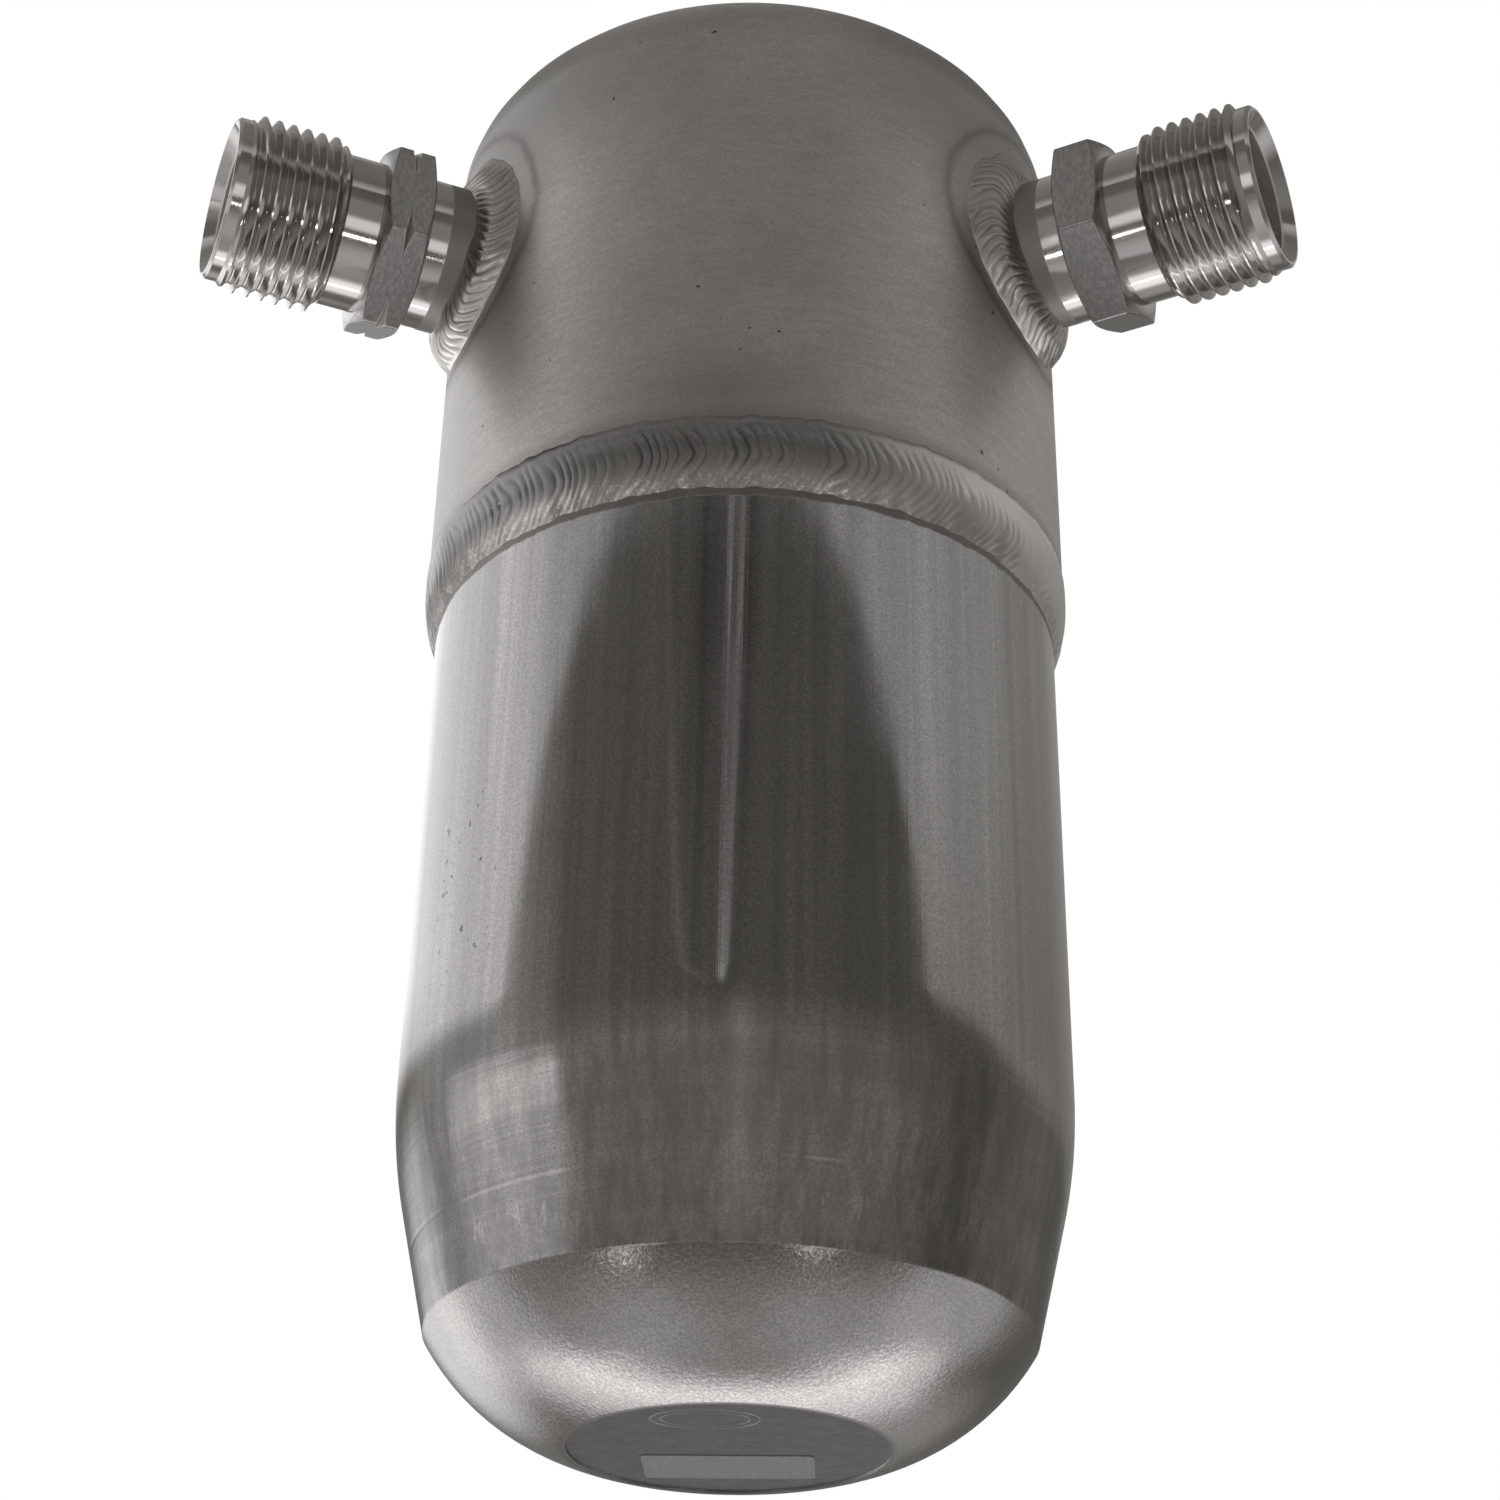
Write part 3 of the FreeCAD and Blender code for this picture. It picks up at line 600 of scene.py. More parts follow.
def blend_value(tree, factor, first, second):
    node = put(tree, "Mix", {0: factor, 2: first, 3: second}, data_type="FLOAT")
    return node.outputs[0]


def bump(tree, height, distance, strength, below=None):
    """Normal of a relief so many millimetres deep, on top of the normal below."""
    inputs = {"Height": height, "Distance": distance * MM, "Strength": strength}
    if below is not None:
        inputs["Normal"] = below
    return put(tree, "Bump", inputs).outputs["Normal"]


def new_material(name):
    material = bpy.data.materials.new(name)
    material.use_nodes = True
    material.node_tree.nodes.clear()
    return material, material.node_tree


def close_material(tree, colour, roughness, normal, metallic=1.0, anisotropic=0.0, tangent=None):
    inputs = {"Base Color": colour, "Metallic": metallic, "Roughness": roughness,
              "Normal": normal, "Anisotropic": anisotropic}
    if tangent is not None:
        inputs["Tangent"] = tangent
    shader = put(tree, "BsdfPrincipled", inputs)
    put(tree, "OutputMaterial", {"Surface": shader.outputs["BSDF"]})


def grey(level, warmth=0.03):
    """Grey with a little more red than blue."""
    return (level, level * (1 - warmth), level * (1 - 2 * warmth), 1.0)


def object_place(tree):
    return put(tree, "TexCoord").outputs["Object"]


def radius_of(tree, first, second):
    """Distance from an axis, from the other two parts of a place."""
    total = calc(tree, "MULTIPLY_ADD", second, second, product(tree, first, first))
    return calc(tree, "SQRT", total)


def inside(tree, value, low, high, soft):
    """1 between low and high, 0 outside them, with soft edges."""
    above = remap(tree, value, low - soft, low + soft)
    below = remap(tree, value, high + soft, high - soft)
    return product(tree, above, below)


def oval_line(tree, place, centre, across, along):
    """Thin oval line on the base."""
    shifted = vector_calc(tree, "SUBTRACT", place, (*centre, 0))
    rounded = scaled(tree, shifted, (1 / across, 1 / along, 0))
    return inside(tree, vector_calc(tree, "LENGTH", rounded), 0.985, 1.015, 0.02)


def can_metal():
    """Drawn aluminium: draw lines on the wall, rub marks on the taper, orange peel on the dome."""
    material, tree = new_material("can_aluminium")
    place = object_place(tree)
    spot = millimetres(tree, place)
    right, far, height = split(tree, spot)
    radius = radius_of(tree, right, far)
    on_dome = remap(tree, height, DOME_RIM_HEIGHT + 0.2, DOME_RIM_HEIGHT - 0.2)
    on_base = product(tree, remap(tree, radius, BASE_RADIUS + 0.3, BASE_RADIUS - 1.2), on_dome)
    on_taper = inside(tree, height, DOME_RIM_HEIGHT, TAPER_TOP + 1, 2)
    ragged = noise(tree, place, 260, 4.0, 0.7)
    heat_edge = calc(tree, "MULTIPLY_ADD", ragged, 1.2, height)
    heat = remap(tree, heat_edge, GIRTH_LOW - 0.6, GIRTH_LOW - 0.2)
    fine = noise(tree, scaled(tree, place, (1, 1, 0.01)), 2600, 3.0, 0.7)
    lines = noise(tree, scaled(tree, place, (1, 1, 0.012)), 520, 4.0, 0.65)
    broad = noise(tree, scaled(tree, place, (1, 1, 0.04)), 130, 3.0)
    cloud = noise(tree, place, 60, 5.0, 0.65)
    rubbed = noise(tree, scaled(tree, place, (1, 1, 0.05)), 900, 3.0, 0.7)
    bands = noise(tree, scaled(tree, place, (0.05, 0.05, 1)), 420, 3.0, 0.6)
    grain = noise(tree, place, 3600, 2.0, 0.7)
    peel = noise(tree, place, 2100, 2.0, 0.6)
    hammered = noise(tree, place, 420, 3.0, 0.6)
    pits = remap(tree, noise(tree, place, 1100, 0.0), 0.76, 0.8)
    pits = product(tree, pits, inside(tree, height, 46, 66, 6), inside(tree, right, -32, -25, 2))

    colour = blend_colour(tree, remap(tree, broad, 0.3, 0.7), grey(0.4), grey(0.52))
    streaks = remap(tree, lines, 0.32, 0.68)
    streaks = product(tree, streaks, calc(tree, "MULTIPLY_ADD", on_taper, 0.3, 0.42))
    colour = blend_colour(tree, streaks, colour, grey(0.22))
    banded = product(tree, on_taper, remap(tree, bands, 0.35, 0.65, 0.0, 0.35))
    colour = blend_colour(tree, banded, colour, grey(0.24, SOOT_WARMTH))
    dull = product(tree, remap(tree, cloud, 0.42, 0.6), on_taper, 0.25)
    colour = blend_colour(tree, dull, colour, grey(0.28, SOOT_WARMTH))
    rubs = product(tree, remap(tree, rubbed, 0.55, 0.63), inside(tree, height, 14.5, 17.5, 1.0),
                   remap(tree, cloud, 0.45, 0.6), 0.5)
    colour = blend_colour(tree, rubs, colour, grey(0.6))
    smears = product(tree, remap(tree, rubbed, 0.5, 0.42),
                     remap(tree, height, DOME_RIM_HEIGHT + 2, DOME_RIM_HEIGHT), 0.45)
    colour = blend_colour(tree, smears, colour, grey(0.14))
    dome_tone = blend_colour(tree, hammered, grey(0.36), grey(0.46))
    colour = blend_colour(tree, on_dome, colour, dome_tone)
    heat_tone = blend_colour(tree, hammered, grey(0.14, 0.05), grey(0.3, 0.05))
    colour = blend_colour(tree, product(tree, heat, 0.9), colour, heat_tone)
    base_tone = blend_colour(tree, remap(tree, hammered, 0.25, 0.75),
                             grey(0.14, SOOT_WARMTH), grey(0.09, SOOT_WARMTH))
    colour = blend_colour(tree, on_base, colour, base_tone)
    stamp = calc(tree, "MAXIMUM", *[oval_line(tree, spot, STAMP_CENTRE, *oval) for oval in STAMP])
    stamp = product(tree, stamp, on_base)
    colour = blend_colour(tree, product(tree, stamp, 0.8), colour, grey(0.5))
    colour = blend_colour(tree, remap(tree, grain, 0.35, 0.65, 0.0, 0.5), colour, grey(0.2))
    colour = blend_colour(tree, pits, colour, grey(0.08))

    rough = remap(tree, cloud, 0.3, 0.7, 0.07, 0.12)
    rough = blend_value(tree, on_taper, rough, remap(tree, cloud, 0.35, 0.65, 0.12, 0.2))
    rough = blend_value(tree, heat, rough, 0.48)
    rough = blend_value(tree, on_dome, rough, 0.2)
    rough = blend_value(tree, on_base, rough, 0.36)

    drawn_ring = inside(tree, height, 19.4, 19.8, 0.25)
    drawn_ring = product(tree, drawn_ring, remap(tree, cloud, 0.38, 0.5))
    normal = None
    for relief, distance, strength in (
            (fine, 0.003, 0.7), (lines, 0.012, 0.9), (broad, 0.05, 0.5),
            (product(tree, bands, on_taper), 0.05, 0.8), (drawn_ring, -0.03, 0.8),
            (product(tree, peel, on_dome), 0.035, 1.0),
            (product(tree, hammered, on_base), 0.08, 0.9), (stamp, 0.1, 0.9), (pits, -0.04, 0.8)):
        normal = bump(tree, relief, distance, strength, normal)
    close_material(tree, colour, rough, normal)
    return material


def near_port(tree, spot, side, uneven):
    """Dark ring and soot round a port's weld, on the port's own side of the head."""
    axis = port_placement(side).to_3x3() @ Vector((1, 0, 0))
    toe = NECK_RADIUS + PORT_BEAD_WIDTH
    from_port = vector_calc(tree, "SUBTRACT", spot, (0, 0, PORT_HEIGHT + 0.8))
    along = vector_calc(tree, "PROJECT", from_port, axis)
    away = calc(tree, "ADD", vector_calc(tree, "DISTANCE", from_port, along), uneven)
    own_side = remap(tree, vector_calc(tree, "DOT_PRODUCT", from_port, axis), 0.0, 10)
    ring = product(tree, inside(tree, away, toe + 1.9, toe + 2.8, 0.8), own_side)
    return ring, product(tree, remap(tree, away, toe + 7, toe + 2), own_side)


def head_metal():
    """Brushed aluminium with painted highlight on its sides, painted shade at the top, soot and a
    dark ring round each port's weld.
    """
    material, tree = new_material("head_aluminium")
    place = object_place(tree)
    spot = millimetres(tree, place)
    right, far, height = split(tree, spot)
    grain = noise(tree, place, 3400, 2.0)
    brushed = noise(tree, scaled(tree, place, (0.2, 0.2, 1)), 1500, 3.0)
    cloud = noise(tree, place, 42, 5.0, 0.62)
    specks = remap(tree, noise(tree, place, 900, 0.0), 0.86, 0.89)
    uneven = product(tree, calc(tree, "SUBTRACT", cloud, 0.5), 5)
    rings, soots = zip(*[near_port(tree, spot, side, uneven) for side in (INLET, OUTLET)])
    ring = product(tree, calc(tree, "MAXIMUM", *rings), remap(tree, cloud, 0.3, 0.6, 0.4, 0.8))
    low_soot = remap(tree, height, GIRTH_HIGH + 2.2, GIRTH_HIGH + 0.2)
    soot = calc(tree, "MAXIMUM", calc(tree, "MAXIMUM", *soots), low_soot)
    smudge = product(tree, inside(tree, height, GIRTH_HIGH, GIRTH_HIGH + 7, 6),
                     inside(tree, right, -8, 6, 10), remap(tree, far, 0.0, -10),
                     remap(tree, cloud, 0.3, 0.6, 0.3, 0.8))
    # Painted light: the sides are painted lighter below the knuckle and darker near the top.
    at_side = remap(tree, calc(tree, "ABSOLUTE", right), 8, 26)
    painted_side_highlight = product(tree, at_side, remap(tree, height, 158, 140, 0.0, 0.55),
                    remap(tree, right, -34, -22))
    painted_top_shade = product(tree, at_side, remap(tree, height, 148, 162, 0.0, 0.6))
    colour = blend_colour(tree, remap(tree, cloud, 0.3, 0.7), grey(0.5), grey(0.62))
    colour = blend_colour(tree, painted_side_highlight, colour, grey(0.8))
    colour = blend_colour(tree, painted_top_shade, colour, grey(0.3))
    colour = blend_colour(tree, remap(tree, brushed, 0.3, 0.7, 0.0, 0.22), colour, grey(0.32))
    colour = blend_colour(tree, remap(tree, grain, 0.3, 0.7, 0.0, 0.35), colour, grey(0.26))
    colour = blend_colour(tree, product(tree, soot, 0.5), colour, grey(0.3, SOOT_WARMTH))
    colour = blend_colour(tree, smudge, colour, grey(0.24, SOOT_WARMTH))
    colour = blend_colour(tree, ring, colour, grey(0.17, SOOT_WARMTH))
    colour = blend_colour(tree, specks, colour, grey(0.12))
    rough = remap(tree, cloud, 0.3, 0.7, 0.4, 0.47)
    close_material(tree, colour, rough, bump(tree, grain, 0.016, 0.8))
    return material


def weld_metal(name, level, is_girth):
    """Weld metal, darker in its valleys.

    The girth weld has a smoother foot with painted glints, a painted highlight on its right
    side and painted shade on its left side; the port welds have a sooty top.
    """
    material, tree = new_material(name)
    place = object_place(tree)
    right, _, height = split(tree, millimetres(tree, place))
    cloud = noise(tree, place, 160, 4.0)
    grain = noise(tree, place, 2200, 3.0)
    sunk = put(tree, "Attribute", attribute_name="sunk").outputs["Fac"]
    valley = product(tree, remap(tree, sunk, 0.3, 1.0), 0.8)
    colour = blend_colour(tree, cloud, grey(level * 0.85), grey(level * 1.1))
    colour = blend_colour(tree, valley, colour, grey(level * 0.25))
    grains = remap(tree, grain, 0.35, 0.65, 0.0, 0.25)
    colour = blend_colour(tree, grains, colour, grey(level * 0.5))
    rough = remap(tree, cloud, 0.3, 0.7, 0.26, 0.38)
    if is_girth:
        # Painted highlight on the right side and painted shade on the left side.
        painted_right_highlight = remap(tree, right, 8, 30, 0.0, 0.85)
        colour = blend_colour(tree, painted_right_highlight, colour, grey(0.8))
        painted_left_shade = remap(tree, right, -14, -32, 0.0, 0.5)
        colour = blend_colour(tree, painted_left_shade, colour, grey(0.2))
        foot = remap(tree, height, GIRTH_LOW + 3.2, GIRTH_LOW + 1.0)
        # Painted glints on the foot, which is also smoother.
        painted_foot_glints = product(tree, foot, remap(tree, grain, 0.5, 0.7, 0.35, 0.85))
        colour = blend_colour(tree, painted_foot_glints, colour, grey(0.65, 0.05))
        rough = blend_value(tree, foot, rough, 0.22)
    else:
        sooty = remap(tree, height, PORT_HEIGHT - 11, PORT_HEIGHT - 4, 0.0, 0.45)
        colour = blend_colour(tree, sooty, colour, grey(0.3, SOOT_WARMTH))
    close_material(tree, colour, rough, bump(tree, grain, 0.012, 0.8))
    return material


def turned_metal(label, side):
    """Turned aluminium with fine tool marks round the port's axis, sooty next to the weld."""
    material, tree = new_material(label)
    place = put(tree, "Attribute", attribute_name="own_place").outputs["Vector"]
    station, aside, upward = split(tree, millimetres(tree, place))
    across = radius_of(tree, aside, upward)
    sooty = remap(tree, station, HEX_FOOT - 2.5, HEX_FOOT - 2.7)
    marks = noise(tree, scaled(tree, place, (1, 0.01, 0.01)), 5200, 2.0)
    cloud = noise(tree, place, 140, 4.0)
    stains = remap(tree, noise(tree, place, 300, 3.0), 0.6, 0.72)
    on_hexagon = inside(tree, station, HEX_FOOT, HEX_TOP, 0.1)
    scuffs = noise(tree, scaled(tree, place, (1, 0.5, 0.5)), 2600, 4.0, 0.7)
    colour = blend_colour(tree, cloud, grey(0.45), grey(0.58))
    worn = blend_colour(tree, remap(tree, scuffs, 0.35, 0.65), grey(0.28), grey(0.38))
    colour = blend_colour(tree, on_hexagon, colour, worn)
    colour = blend_colour(tree, product(tree, stains, 0.35), colour, grey(0.25))
    colour = blend_colour(tree, product(tree, sooty, 0.75), colour, grey(0.22, SOOT_WARMTH))
    rough = remap(tree, cloud, 0.3, 0.7, 0.07, 0.12)
    rough = blend_value(tree, on_hexagon, rough, 0.24)
    if side == INLET:
        slope = NOTCH_HALF / (HEX_CLEAR - NOTCH_ROOT)
        off_middle = calc(tree, "SUBTRACT", station, (HEX_FOOT + HEX_TOP) / 2)
        reach = product(tree, calc(tree, "SUBTRACT", across, NOTCH_ROOT), slope)
        outside = calc(tree, "SUBTRACT", calc(tree, "ABSOLUTE", off_middle), reach)
        in_notch = product(tree, remap(tree, outside, 0.08, 0.04),
                           remap(tree, across, NOTCH_ROOT, NOTCH_ROOT + 0.1))
        rough = blend_value(tree, in_notch, rough, 0.45)
        colour = blend_colour(tree, in_notch, colour, grey(0.7))
    # The bore is rougher and painted lighter: painted light in the hollow.
    in_bore = remap(tree, across, PILOT_RADIUS + 0.3, PILOT_RADIUS + 0.1)
    rough = blend_value(tree, in_bore, rough, 0.42)
    colour = blend_colour(tree, in_bore, colour, grey(0.7))
    rough = blend_value(tree, sooty, rough, 0.45)
    normal = bump(tree, marks, 0.005, 0.5)
    normal = bump(tree, product(tree, scuffs, on_hexagon), 0.01, 0.7, normal)
    axis = port_placement(side).to_3x3() @ Vector((1, 0, 0))
    facing = put(tree, "NewGeometry").outputs["Normal"]
    around = vector_calc(tree, "CROSS_PRODUCT", axis, facing)
    close_material(tree, colour, rough, normal, anisotropic=0.4, tangent=around)
    return material


def plain_metal(name, level, roughness):
    """Drawn or stamped metal of an inner piece."""
    material, tree = new_material(name)
    place = object_place(tree)
    cloud = noise(tree, place, 220, 4.0)
    grain = noise(tree, place, 1800, 3.0)
    colour = blend_colour(tree, cloud, grey(level * 0.85), grey(level))
    rough = remap(tree, cloud, 0.3, 0.7, roughness, roughness + 0.1)
    close_material(tree, colour, rough, bump(tree, grain, 0.008, 0.5))
    return material


def soft_material(name, level, scale, depth):
    """Plastic, mesh, felt or paper with its own grain."""
    material, tree = new_material(name)
    place = object_place(tree)
    grain = noise(tree, place, scale, 4.0)
    cloud = noise(tree, place, scale / 12, 3.0)
    colour = blend_colour(tree, cloud, grey(level * 0.88, 0.02), grey(level, 0.01))
    rough = remap(tree, grain, 0.3, 0.7, 0.55, 0.8)
    close_material(tree, colour, rough, bump(tree, grain, depth, 0.7), metallic=0.0)
    return material


# Light, floor and camera. Azimuth and elevation are in degrees.


WHITE = (1, 1, 1, 1)
WARM_WHITE = (1, 0.965, 0.9, 1)
SOFT_LIGHT = 0.6
AMBIENT_LOW, AMBIENT_HIGH = 0.16, 0.13

# The wedge is the dark reflection of the room's front: half an ellipse of azimuth and elevation.
WEDGE_MIDDLE = -6.5
WEDGE_FOOT, WEDGE_RISE = 20, 16.75
WEDGE_HALF = 78.5

STUDIO_GLOWS = (
    # azimuth, elevation, inner, outer, level
    (-139, -7, 8, 28, 1.15),
    (-120, -26, 6, 28, 0.6),
    (-100, 8, 15, 45, 0.3),
    (118, -4, 12, 32, 0.1),
    (108, -31, 8, 32, 0.5),
    (168, -30, 8, 26, 0.3),
    (90, -58, 10, 35, 0.2),
    (-90, -58, 10, 35, 0.2),
    (-45, -43, 0.4, 1.8, 16.0),
    (36, -42, 0.4, 1.8, 18.0),
    (-34, -23, 5, 12, 0.75),
    (34, -23, 5, 12, 0.75),
    (0, -90, 15, 50, 0.25),
    (0, 90, 20, 45, 0.05),
)
LAMPS = (
    # name, place and size in metres, watts
    ("left_lamp", (-0.55, -0.25, 0.35), (0.35, 0.5), 1.2),
    ("right_lamp", (0.6, -0.1, 0.3), (0.35, 0.5), 1.0),
    ("low_lamp", (-0.15, -0.45, -0.4), (0.2, 0.2), 0.5),
)

# The floor is in metres. It fades to white between these distances from the object.
FLOOR_HALF = 1.2
FLOOR_DROP = 0.0002
FLOOR_FADE = 0.15, 0.9
FLOOR_COLOUR = (0.86, 0.86, 0.86, 1)

# Yaw, pitch, roll and the turn about the object's axis are in degrees.
CAMERA_PLACE = (-0.56, -284.55, -77.28)
CAMERA_ANGLES = 0.29, 29.76, 1.035, 2.75
CAMERA_LENS = 64.8
CAMERA_SENSOR = 36.0
CAMERA_CLIP = 0.01


def toward(azimuth, elevation):
    """Direction from the object: azimuth 0 is -Y, where the camera is, and 90 is +X."""
    across, up = math.radians(azimuth), math.radians(elevation)
    return (math.sin(across) * math.cos(up), -math.cos(across) * math.cos(up), math.sin(up))


def glow(tree, direction, azimuth, elevation, inner, outer, level):
    """Soft round patch of light, full within inner degrees of its middle and gone at outer."""
    near = vector_calc(tree, "DOT_PRODUCT", direction, toward(azimuth, elevation))
    shape = remap(tree, near, math.cos(math.radians(outer)), math.cos(math.radians(inner)))
    return product(tree, shape, level)


def room_walls(tree, azimuth, elevation):
    """Pale walls that stand on the wedge's foot, brightest to the left, with the wedge as a gap."""
    off_middle = calc(tree, "ABSOLUTE", calc(tree, "SUBTRACT", azimuth, WEDGE_MIDDLE))
    risen = remap(tree, elevation, WEDGE_FOOT, WEDGE_FOOT + WEDGE_RISE, soft=False)
    half = calc(tree, "SQRT", calc(tree, "SUBTRACT", 1.0, product(tree, risen, risen)))
    half = product(tree, half, WEDGE_HALF)
    outside = remap(tree, calc(tree, "SUBTRACT", off_middle, half), -1.8, 1.2)
    lifted = calc(tree, "ADD", elevation, remap(tree, azimuth, 70, 120, 0, 6))
    raised = remap(tree, lifted, WEDGE_FOOT, WEDGE_FOOT + 5)
    to_left = remap(tree, azimuth, -50, -150, 0.44, 1.13, soft=False)
    to_right = remap(tree, azimuth, 80, 145, 0, 0.23)
    to_right = product(tree, to_right, remap(tree, elevation, 40, 33))
    low_right = product(tree, remap(tree, azimuth, 20, 60), remap(tree, elevation, 32, 22), 0.4)
    level = calc(tree, "SUBTRACT", to_left, to_right)
    high_up = remap(tree, elevation, 36, 50, 1.0, 0.14)
    return product(tree, level, outside, high_up, calc(tree, "SUBTRACT", 1.0, low_right), raised)


def low_lights(tree, azimuth, elevation):
    """Lights below the walls, each with its level."""
    off_front = calc(tree, "ABSOLUTE", azimuth)
    behind = remap(tree, off_front, 114, 134)
    band = product(tree, inside(tree, elevation, -63, -36, 5), behind)
    tube_height = remap(tree, off_front, 105, 140, -44, -51)
    tube = inside(tree, calc(tree, "SUBTRACT", elevation, tube_height), -0.8, 0.8, 0.6)
    tube = product(tree, tube, behind)
    front = product(tree, inside(tree, elevation, -30, 15, 5), remap(tree, azimuth, -110, -70),
                    remap(tree, azimuth, 88, 43))
    pillar = product(tree, inside(tree, azimuth, -1, 7, 3), inside(tree, elevation, -30, 17, 5))
    slanted = calc(tree, "MULTIPLY_ADD", calc(tree, "ADD", azimuth, 56.0), 0.14, elevation)
    pane = inside(tree, azimuth, -104, -56, 2.5)
    window = product(tree, pane, inside(tree, slanted, -0.5, 9.5, 1.0))
    sill = product(tree, pane, inside(tree, slanted, -12, -2, 1.5))
    return (band, 1.15), (tube, 4.0), (front, 0.15), (pillar, 0.14), (window, 0.8), (sill, 0.35)


def seam_lights(tree, azimuth, elevation):
    """Double bright line up the dark front, the shade beside it and the curl that leaves it."""
    seam_place = remap(tree, elevation, 23.5, 35, -2.7, -0.8, soft=False)
    from_seam = calc(tree, "SUBTRACT", azimuth, seam_place)
    spread = remap(tree, elevation, 23, 35, 0.4, 2.3, soft=False)
    first = inside(tree, calc(tree, "ADD", from_seam, spread), -0.35, 0.35, 0.35)
    second = inside(tree, calc(tree, "SUBTRACT", from_seam, spread), -0.7, 0.7, 0.5)
    seam = calc(tree, "MULTIPLY_ADD", second, 0.6, first)
    seam = product(tree, seam, remap(tree, elevation, 30, 23.5, 1.0, 1.2),
                   inside(tree, elevation, 21.5, 60, 1))
    to_right, to_left = inside(tree, from_seam, 3, 8, 2.5), inside(tree, from_seam, -15, -7, 4)
    shade = product(tree, calc(tree, "MAXIMUM", to_right, to_left), remap(tree, elevation, 24, 34))
    risen = calc(tree, "MAXIMUM", calc(tree, "SUBTRACT", elevation, 21.0), 0.0)
    off_curl = calc(tree, "MULTIPLY_ADD", calc(tree, "SQRT", risen), 6.8, from_seam)
    curl = product(tree, inside(tree, off_curl, -0.3, 0.3, 0.4),
                   inside(tree, elevation, 21.3, 60, 0.3),
                   remap(tree, elevation, 36, 24, 0.12, 0.4))
    return (shade, -0.05), (seam, 0.6), (curl, 1.0)


def light_world():
    """White to the camera; metal sees a dim studio, brighter to the left, behind and below."""
    world = bpy.data.worlds.new("studio")
    bpy.context.scene.world = world
    world.use_nodes = True
    world.cycles.sampling_method = "NONE"
    tree = world.node_tree
    tree.nodes.clear()
    rays = put(tree, "LightPath")
    direction = put(tree, "TexCoord").outputs["Generated"]
    right, far, upward = split(tree, direction)
    azimuth = calc(tree, "ARCTAN2", right, product(tree, far, -1.0))
    azimuth = product(tree, azimuth, math.degrees(1))
    elevation = product(tree, calc(tree, "ARCSINE", upward), math.degrees(1))
    studio = remap(tree, elevation, 20, 36, AMBIENT_LOW, AMBIENT_HIGH)
    studio = calc(tree, "ADD", room_walls(tree, azimuth, elevation), studio)
    for light, level in (*low_lights(tree, azimuth, elevation),
                         *seam_lights(tree, azimuth, elevation)):
        studio = calc(tree, "MULTIPLY_ADD", light, level, studio)
    studio = calc(tree, "ADD", studio, remap(tree, azimuth, -10, -55, 0, 0.04))
    for patch in STUDIO_GLOWS:
        studio = calc(tree, "ADD", studio, glow(tree, direction, *patch))
    soft = blend_value(tree, rays.outputs["Is Glossy Ray"], SOFT_LIGHT, studio)
    level = blend_value(tree, rays.outputs["Is Camera Ray"], soft, 1.0)
    warm = product(tree, remap(tree, studio, 0.7, 0.15), rays.outputs["Is Glossy Ray"])
    tone = blend_colour(tree, warm, WHITE, WARM_WHITE)
    background = put(tree, "Background", {"Color": tone, "Strength": level})
    put(tree, "OutputWorld", {"Surface": background.outputs["Background"]})


def add_lamp(name, place, size, power):
    """Soft area lamp that faces the middle of the object."""
    data = bpy.data.lights.new(name, "AREA")
    data.shape = "RECTANGLE"
    data.size, data.size_y = size
    data.energy = power
    lamp = bpy.data.objects.new(name, data)
    bpy.context.scene.collection.objects.link(lamp)
    lamp.visible_glossy = False
    lamp.location = place
    middle = (CAD_BOX[0] + CAD_BOX[1]) / 2
    lamp.rotation_mode = "QUATERNION"
    lamp.rotation_quaternion = (middle - Vector(place)).to_track_quat("-Z", "Y")


def add_floor():
    """Pale floor that fades to white far out. It shows only from above."""
    half = FLOOR_HALF
    mesh = bpy.data.meshes.new("floor")
    mesh.from_pydata([(-half, -half, 0), (half, -half, 0), (half, half, 0), (-half, half, 0)],
                     [], [(0, 1, 2, 3)])
    floor = bpy.data.objects.new("floor", mesh)
    bpy.context.scene.collection.objects.link(floor)
    floor.location.z = -FLOOR_DROP
    material, tree = new_material("floor_paint")
    rays = put(tree, "LightPath")
    front = calc(tree, "SUBTRACT", 1.0, put(tree, "NewGeometry").outputs["Backfacing"])
    seen = product(tree, rays.outputs["Is Camera Ray"], front)
    paint = put(tree, "BsdfDiffuse", {"Color": FLOOR_COLOUR})
    away = vector_calc(tree, "LENGTH", put(tree, "NewGeometry").outputs["Position"])
    backdrop = put(tree, "Emission", {"Color": WHITE, "Strength": 1.0})
    paint = put(tree, "MixShader", {0: remap(tree, away, *FLOOR_FADE), 1: paint.outputs[0],
                                    2: backdrop.outputs[0]})
    clear = put(tree, "BsdfTransparent")
    surface = put(tree, "MixShader", {0: seen, 1: clear.outputs[0], 2: paint.outputs[0]})
    put(tree, "OutputMaterial", {"Surface": surface.outputs[0]})
    mesh.materials.append(material)


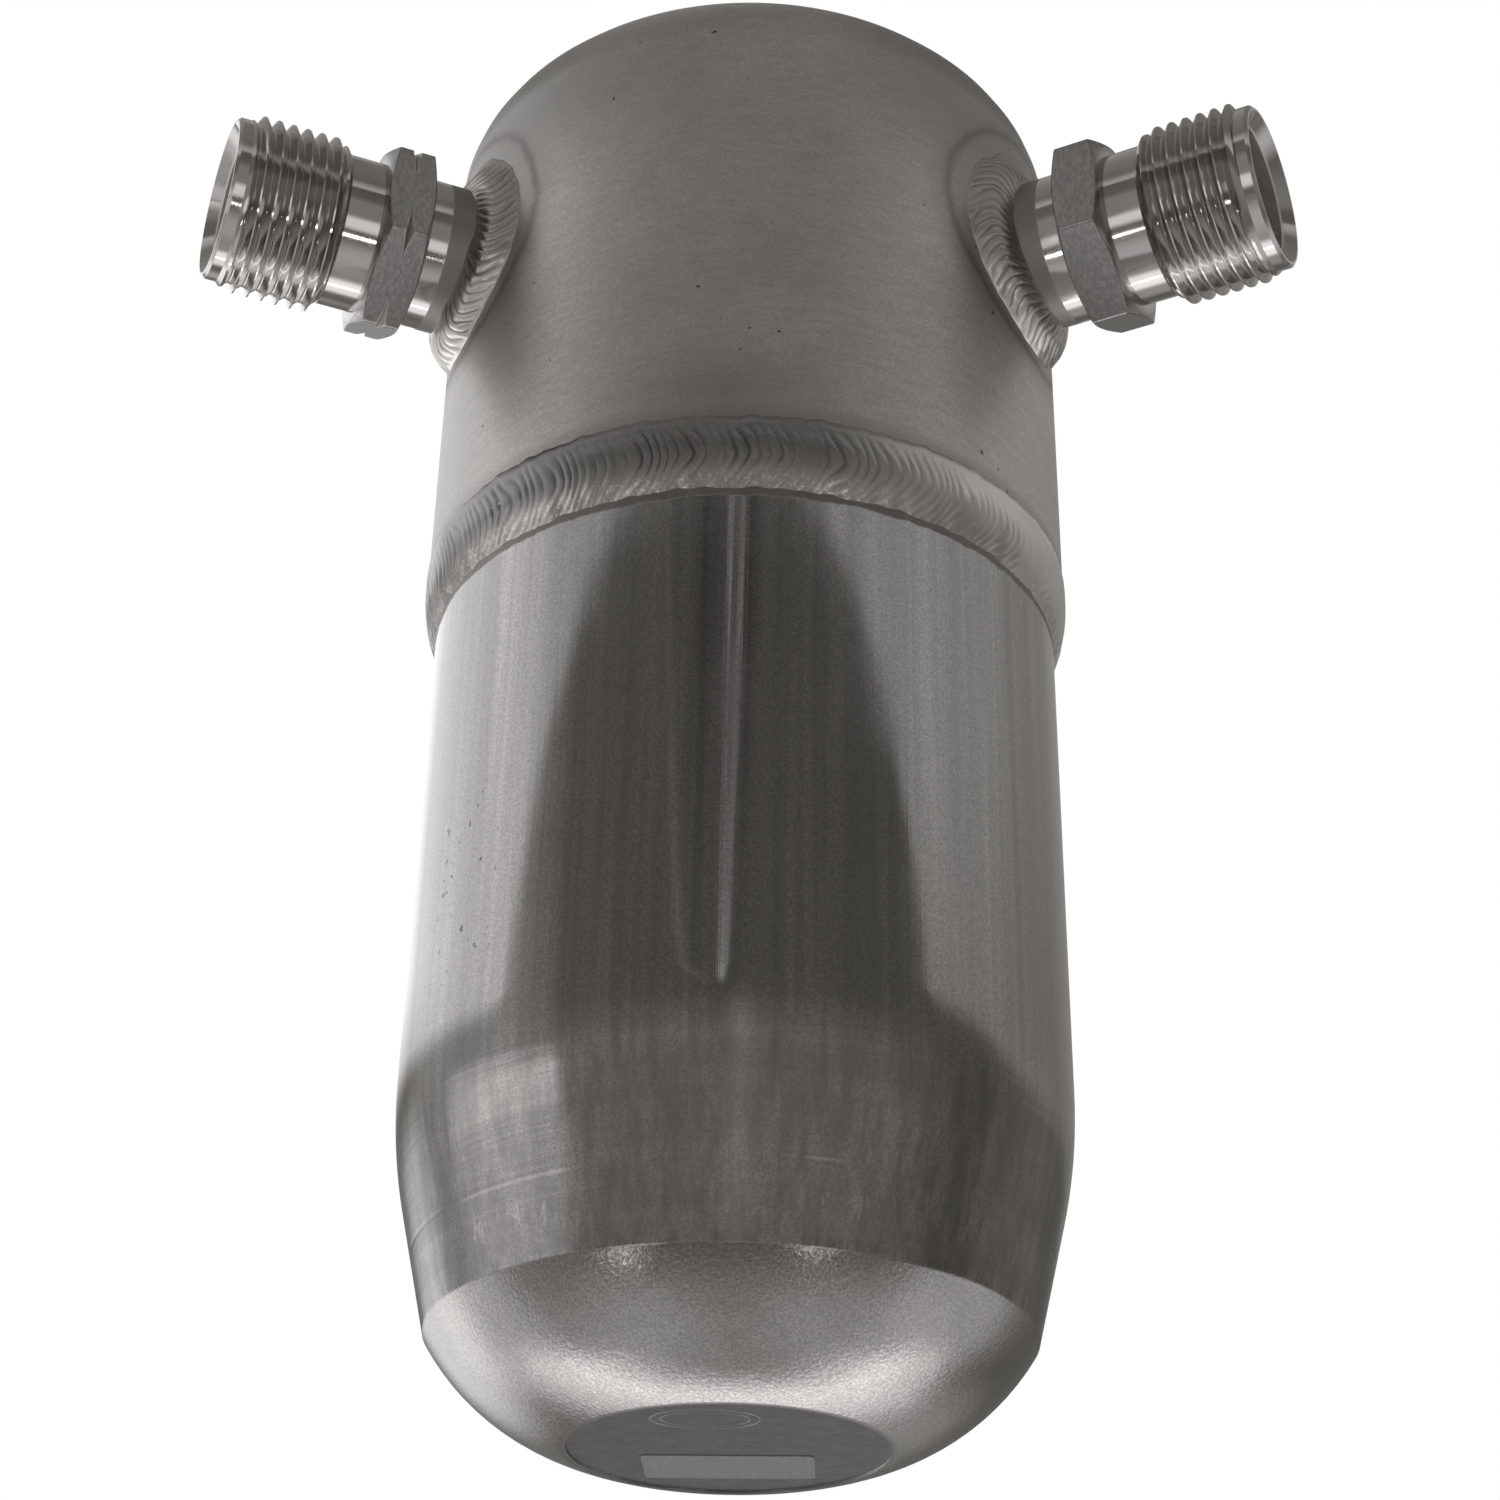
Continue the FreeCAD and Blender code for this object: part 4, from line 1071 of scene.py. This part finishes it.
def add_camera():
    """The photograph's camera: below the base, looking up at the can."""
    place = Vector(CAMERA_PLACE) * MM
    yaw, pitch, roll, orbit = (math.radians(angle) for angle in CAMERA_ANGLES)
    forward = Vector((math.sin(yaw) * math.cos(pitch), math.cos(yaw) * math.cos(pitch),
                      math.sin(pitch)))
    level = Vector((math.cos(yaw), -math.sin(yaw), 0))
    upright = level.cross(forward)
    right = math.cos(roll) * level + math.sin(roll) * upright
    up = math.cos(roll) * upright - math.sin(roll) * level
    data = bpy.data.cameras.new("camera")
    data.sensor_width = CAMERA_SENSOR
    data.lens = CAMERA_LENS
    data.clip_start = CAMERA_CLIP
    camera = bpy.data.objects.new("camera", data)
    bpy.context.scene.collection.objects.link(camera)
    turn = Matrix((right, up, -forward)).transposed().to_4x4()
    camera.matrix_world = Matrix.Rotation(orbit, 4, "Z") @ Matrix.Translation(place) @ turn
    bpy.context.scene.camera = camera


# Assembly


def dress(piece, material, node):
    """Give a piece its material, let it ride on the body and stand for its node."""
    piece.data.materials.clear()
    piece.data.materials.append(material)
    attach(piece, "root")
    if node is not None:
        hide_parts(node)


def paint_node(node, material):
    """Give a solid that the scene keeps as it is its material."""
    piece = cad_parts[node]
    if not piece.material_slots:
        piece.data.materials.append(material)
    for slot in piece.material_slots:
        slot.material = material


def main():
    add_camera()
    weld = weld_metal("weld_bead", 0.31, is_girth=True)
    port_weld = weld_metal("port_weld_bead", 0.72, is_girth=False)
    dress(make_can(), can_metal(), "lower_can")
    dress(make_head(), head_metal(), "upper_head")
    dress(make_girth_bead(), weld, "girth_weld")
    for name, side in PORTS:
        dress(make_port(name + "_port", side), turned_metal(name + "_turned_aluminium", side),
              name + "_fitting")
    for name, side in PORTS:
        dress(make_port_bead(name + "_bead", side), port_weld, name + "_weld")
    dress(make_label(), soft_material("label_paper", 0.21, 1500, 0.01), None)
    paint_node("pickup_tube", plain_metal("drawn_tube", 0.62, 0.3))
    paint_node("deflector", plain_metal("stamped_sheet", 0.6, 0.35))
    paint_node("tube_bracket", plain_metal("bracket_plate", 0.45, 0.35))
    paint_node("oil_filter_cage", soft_material("cage_nylon", 0.8, 400, 0.01))
    paint_node("oil_filter_screen", soft_material("screen_cloth", 0.75, 3000, 0.03))
    felt = soft_material("pouch_felt", 0.8, 900, 0.12)
    paint_node("desiccant_pouch_front", felt)
    paint_node("desiccant_pouch_rear", felt)
    paint_node("pouch_tie", soft_material("tie_nylon", 0.75, 500, 0.01))
    light_world()
    for lamp in LAMPS:
        add_lamp(*lamp)
    add_floor()
    bpy.context.scene.view_settings.view_transform = "Standard"


main()
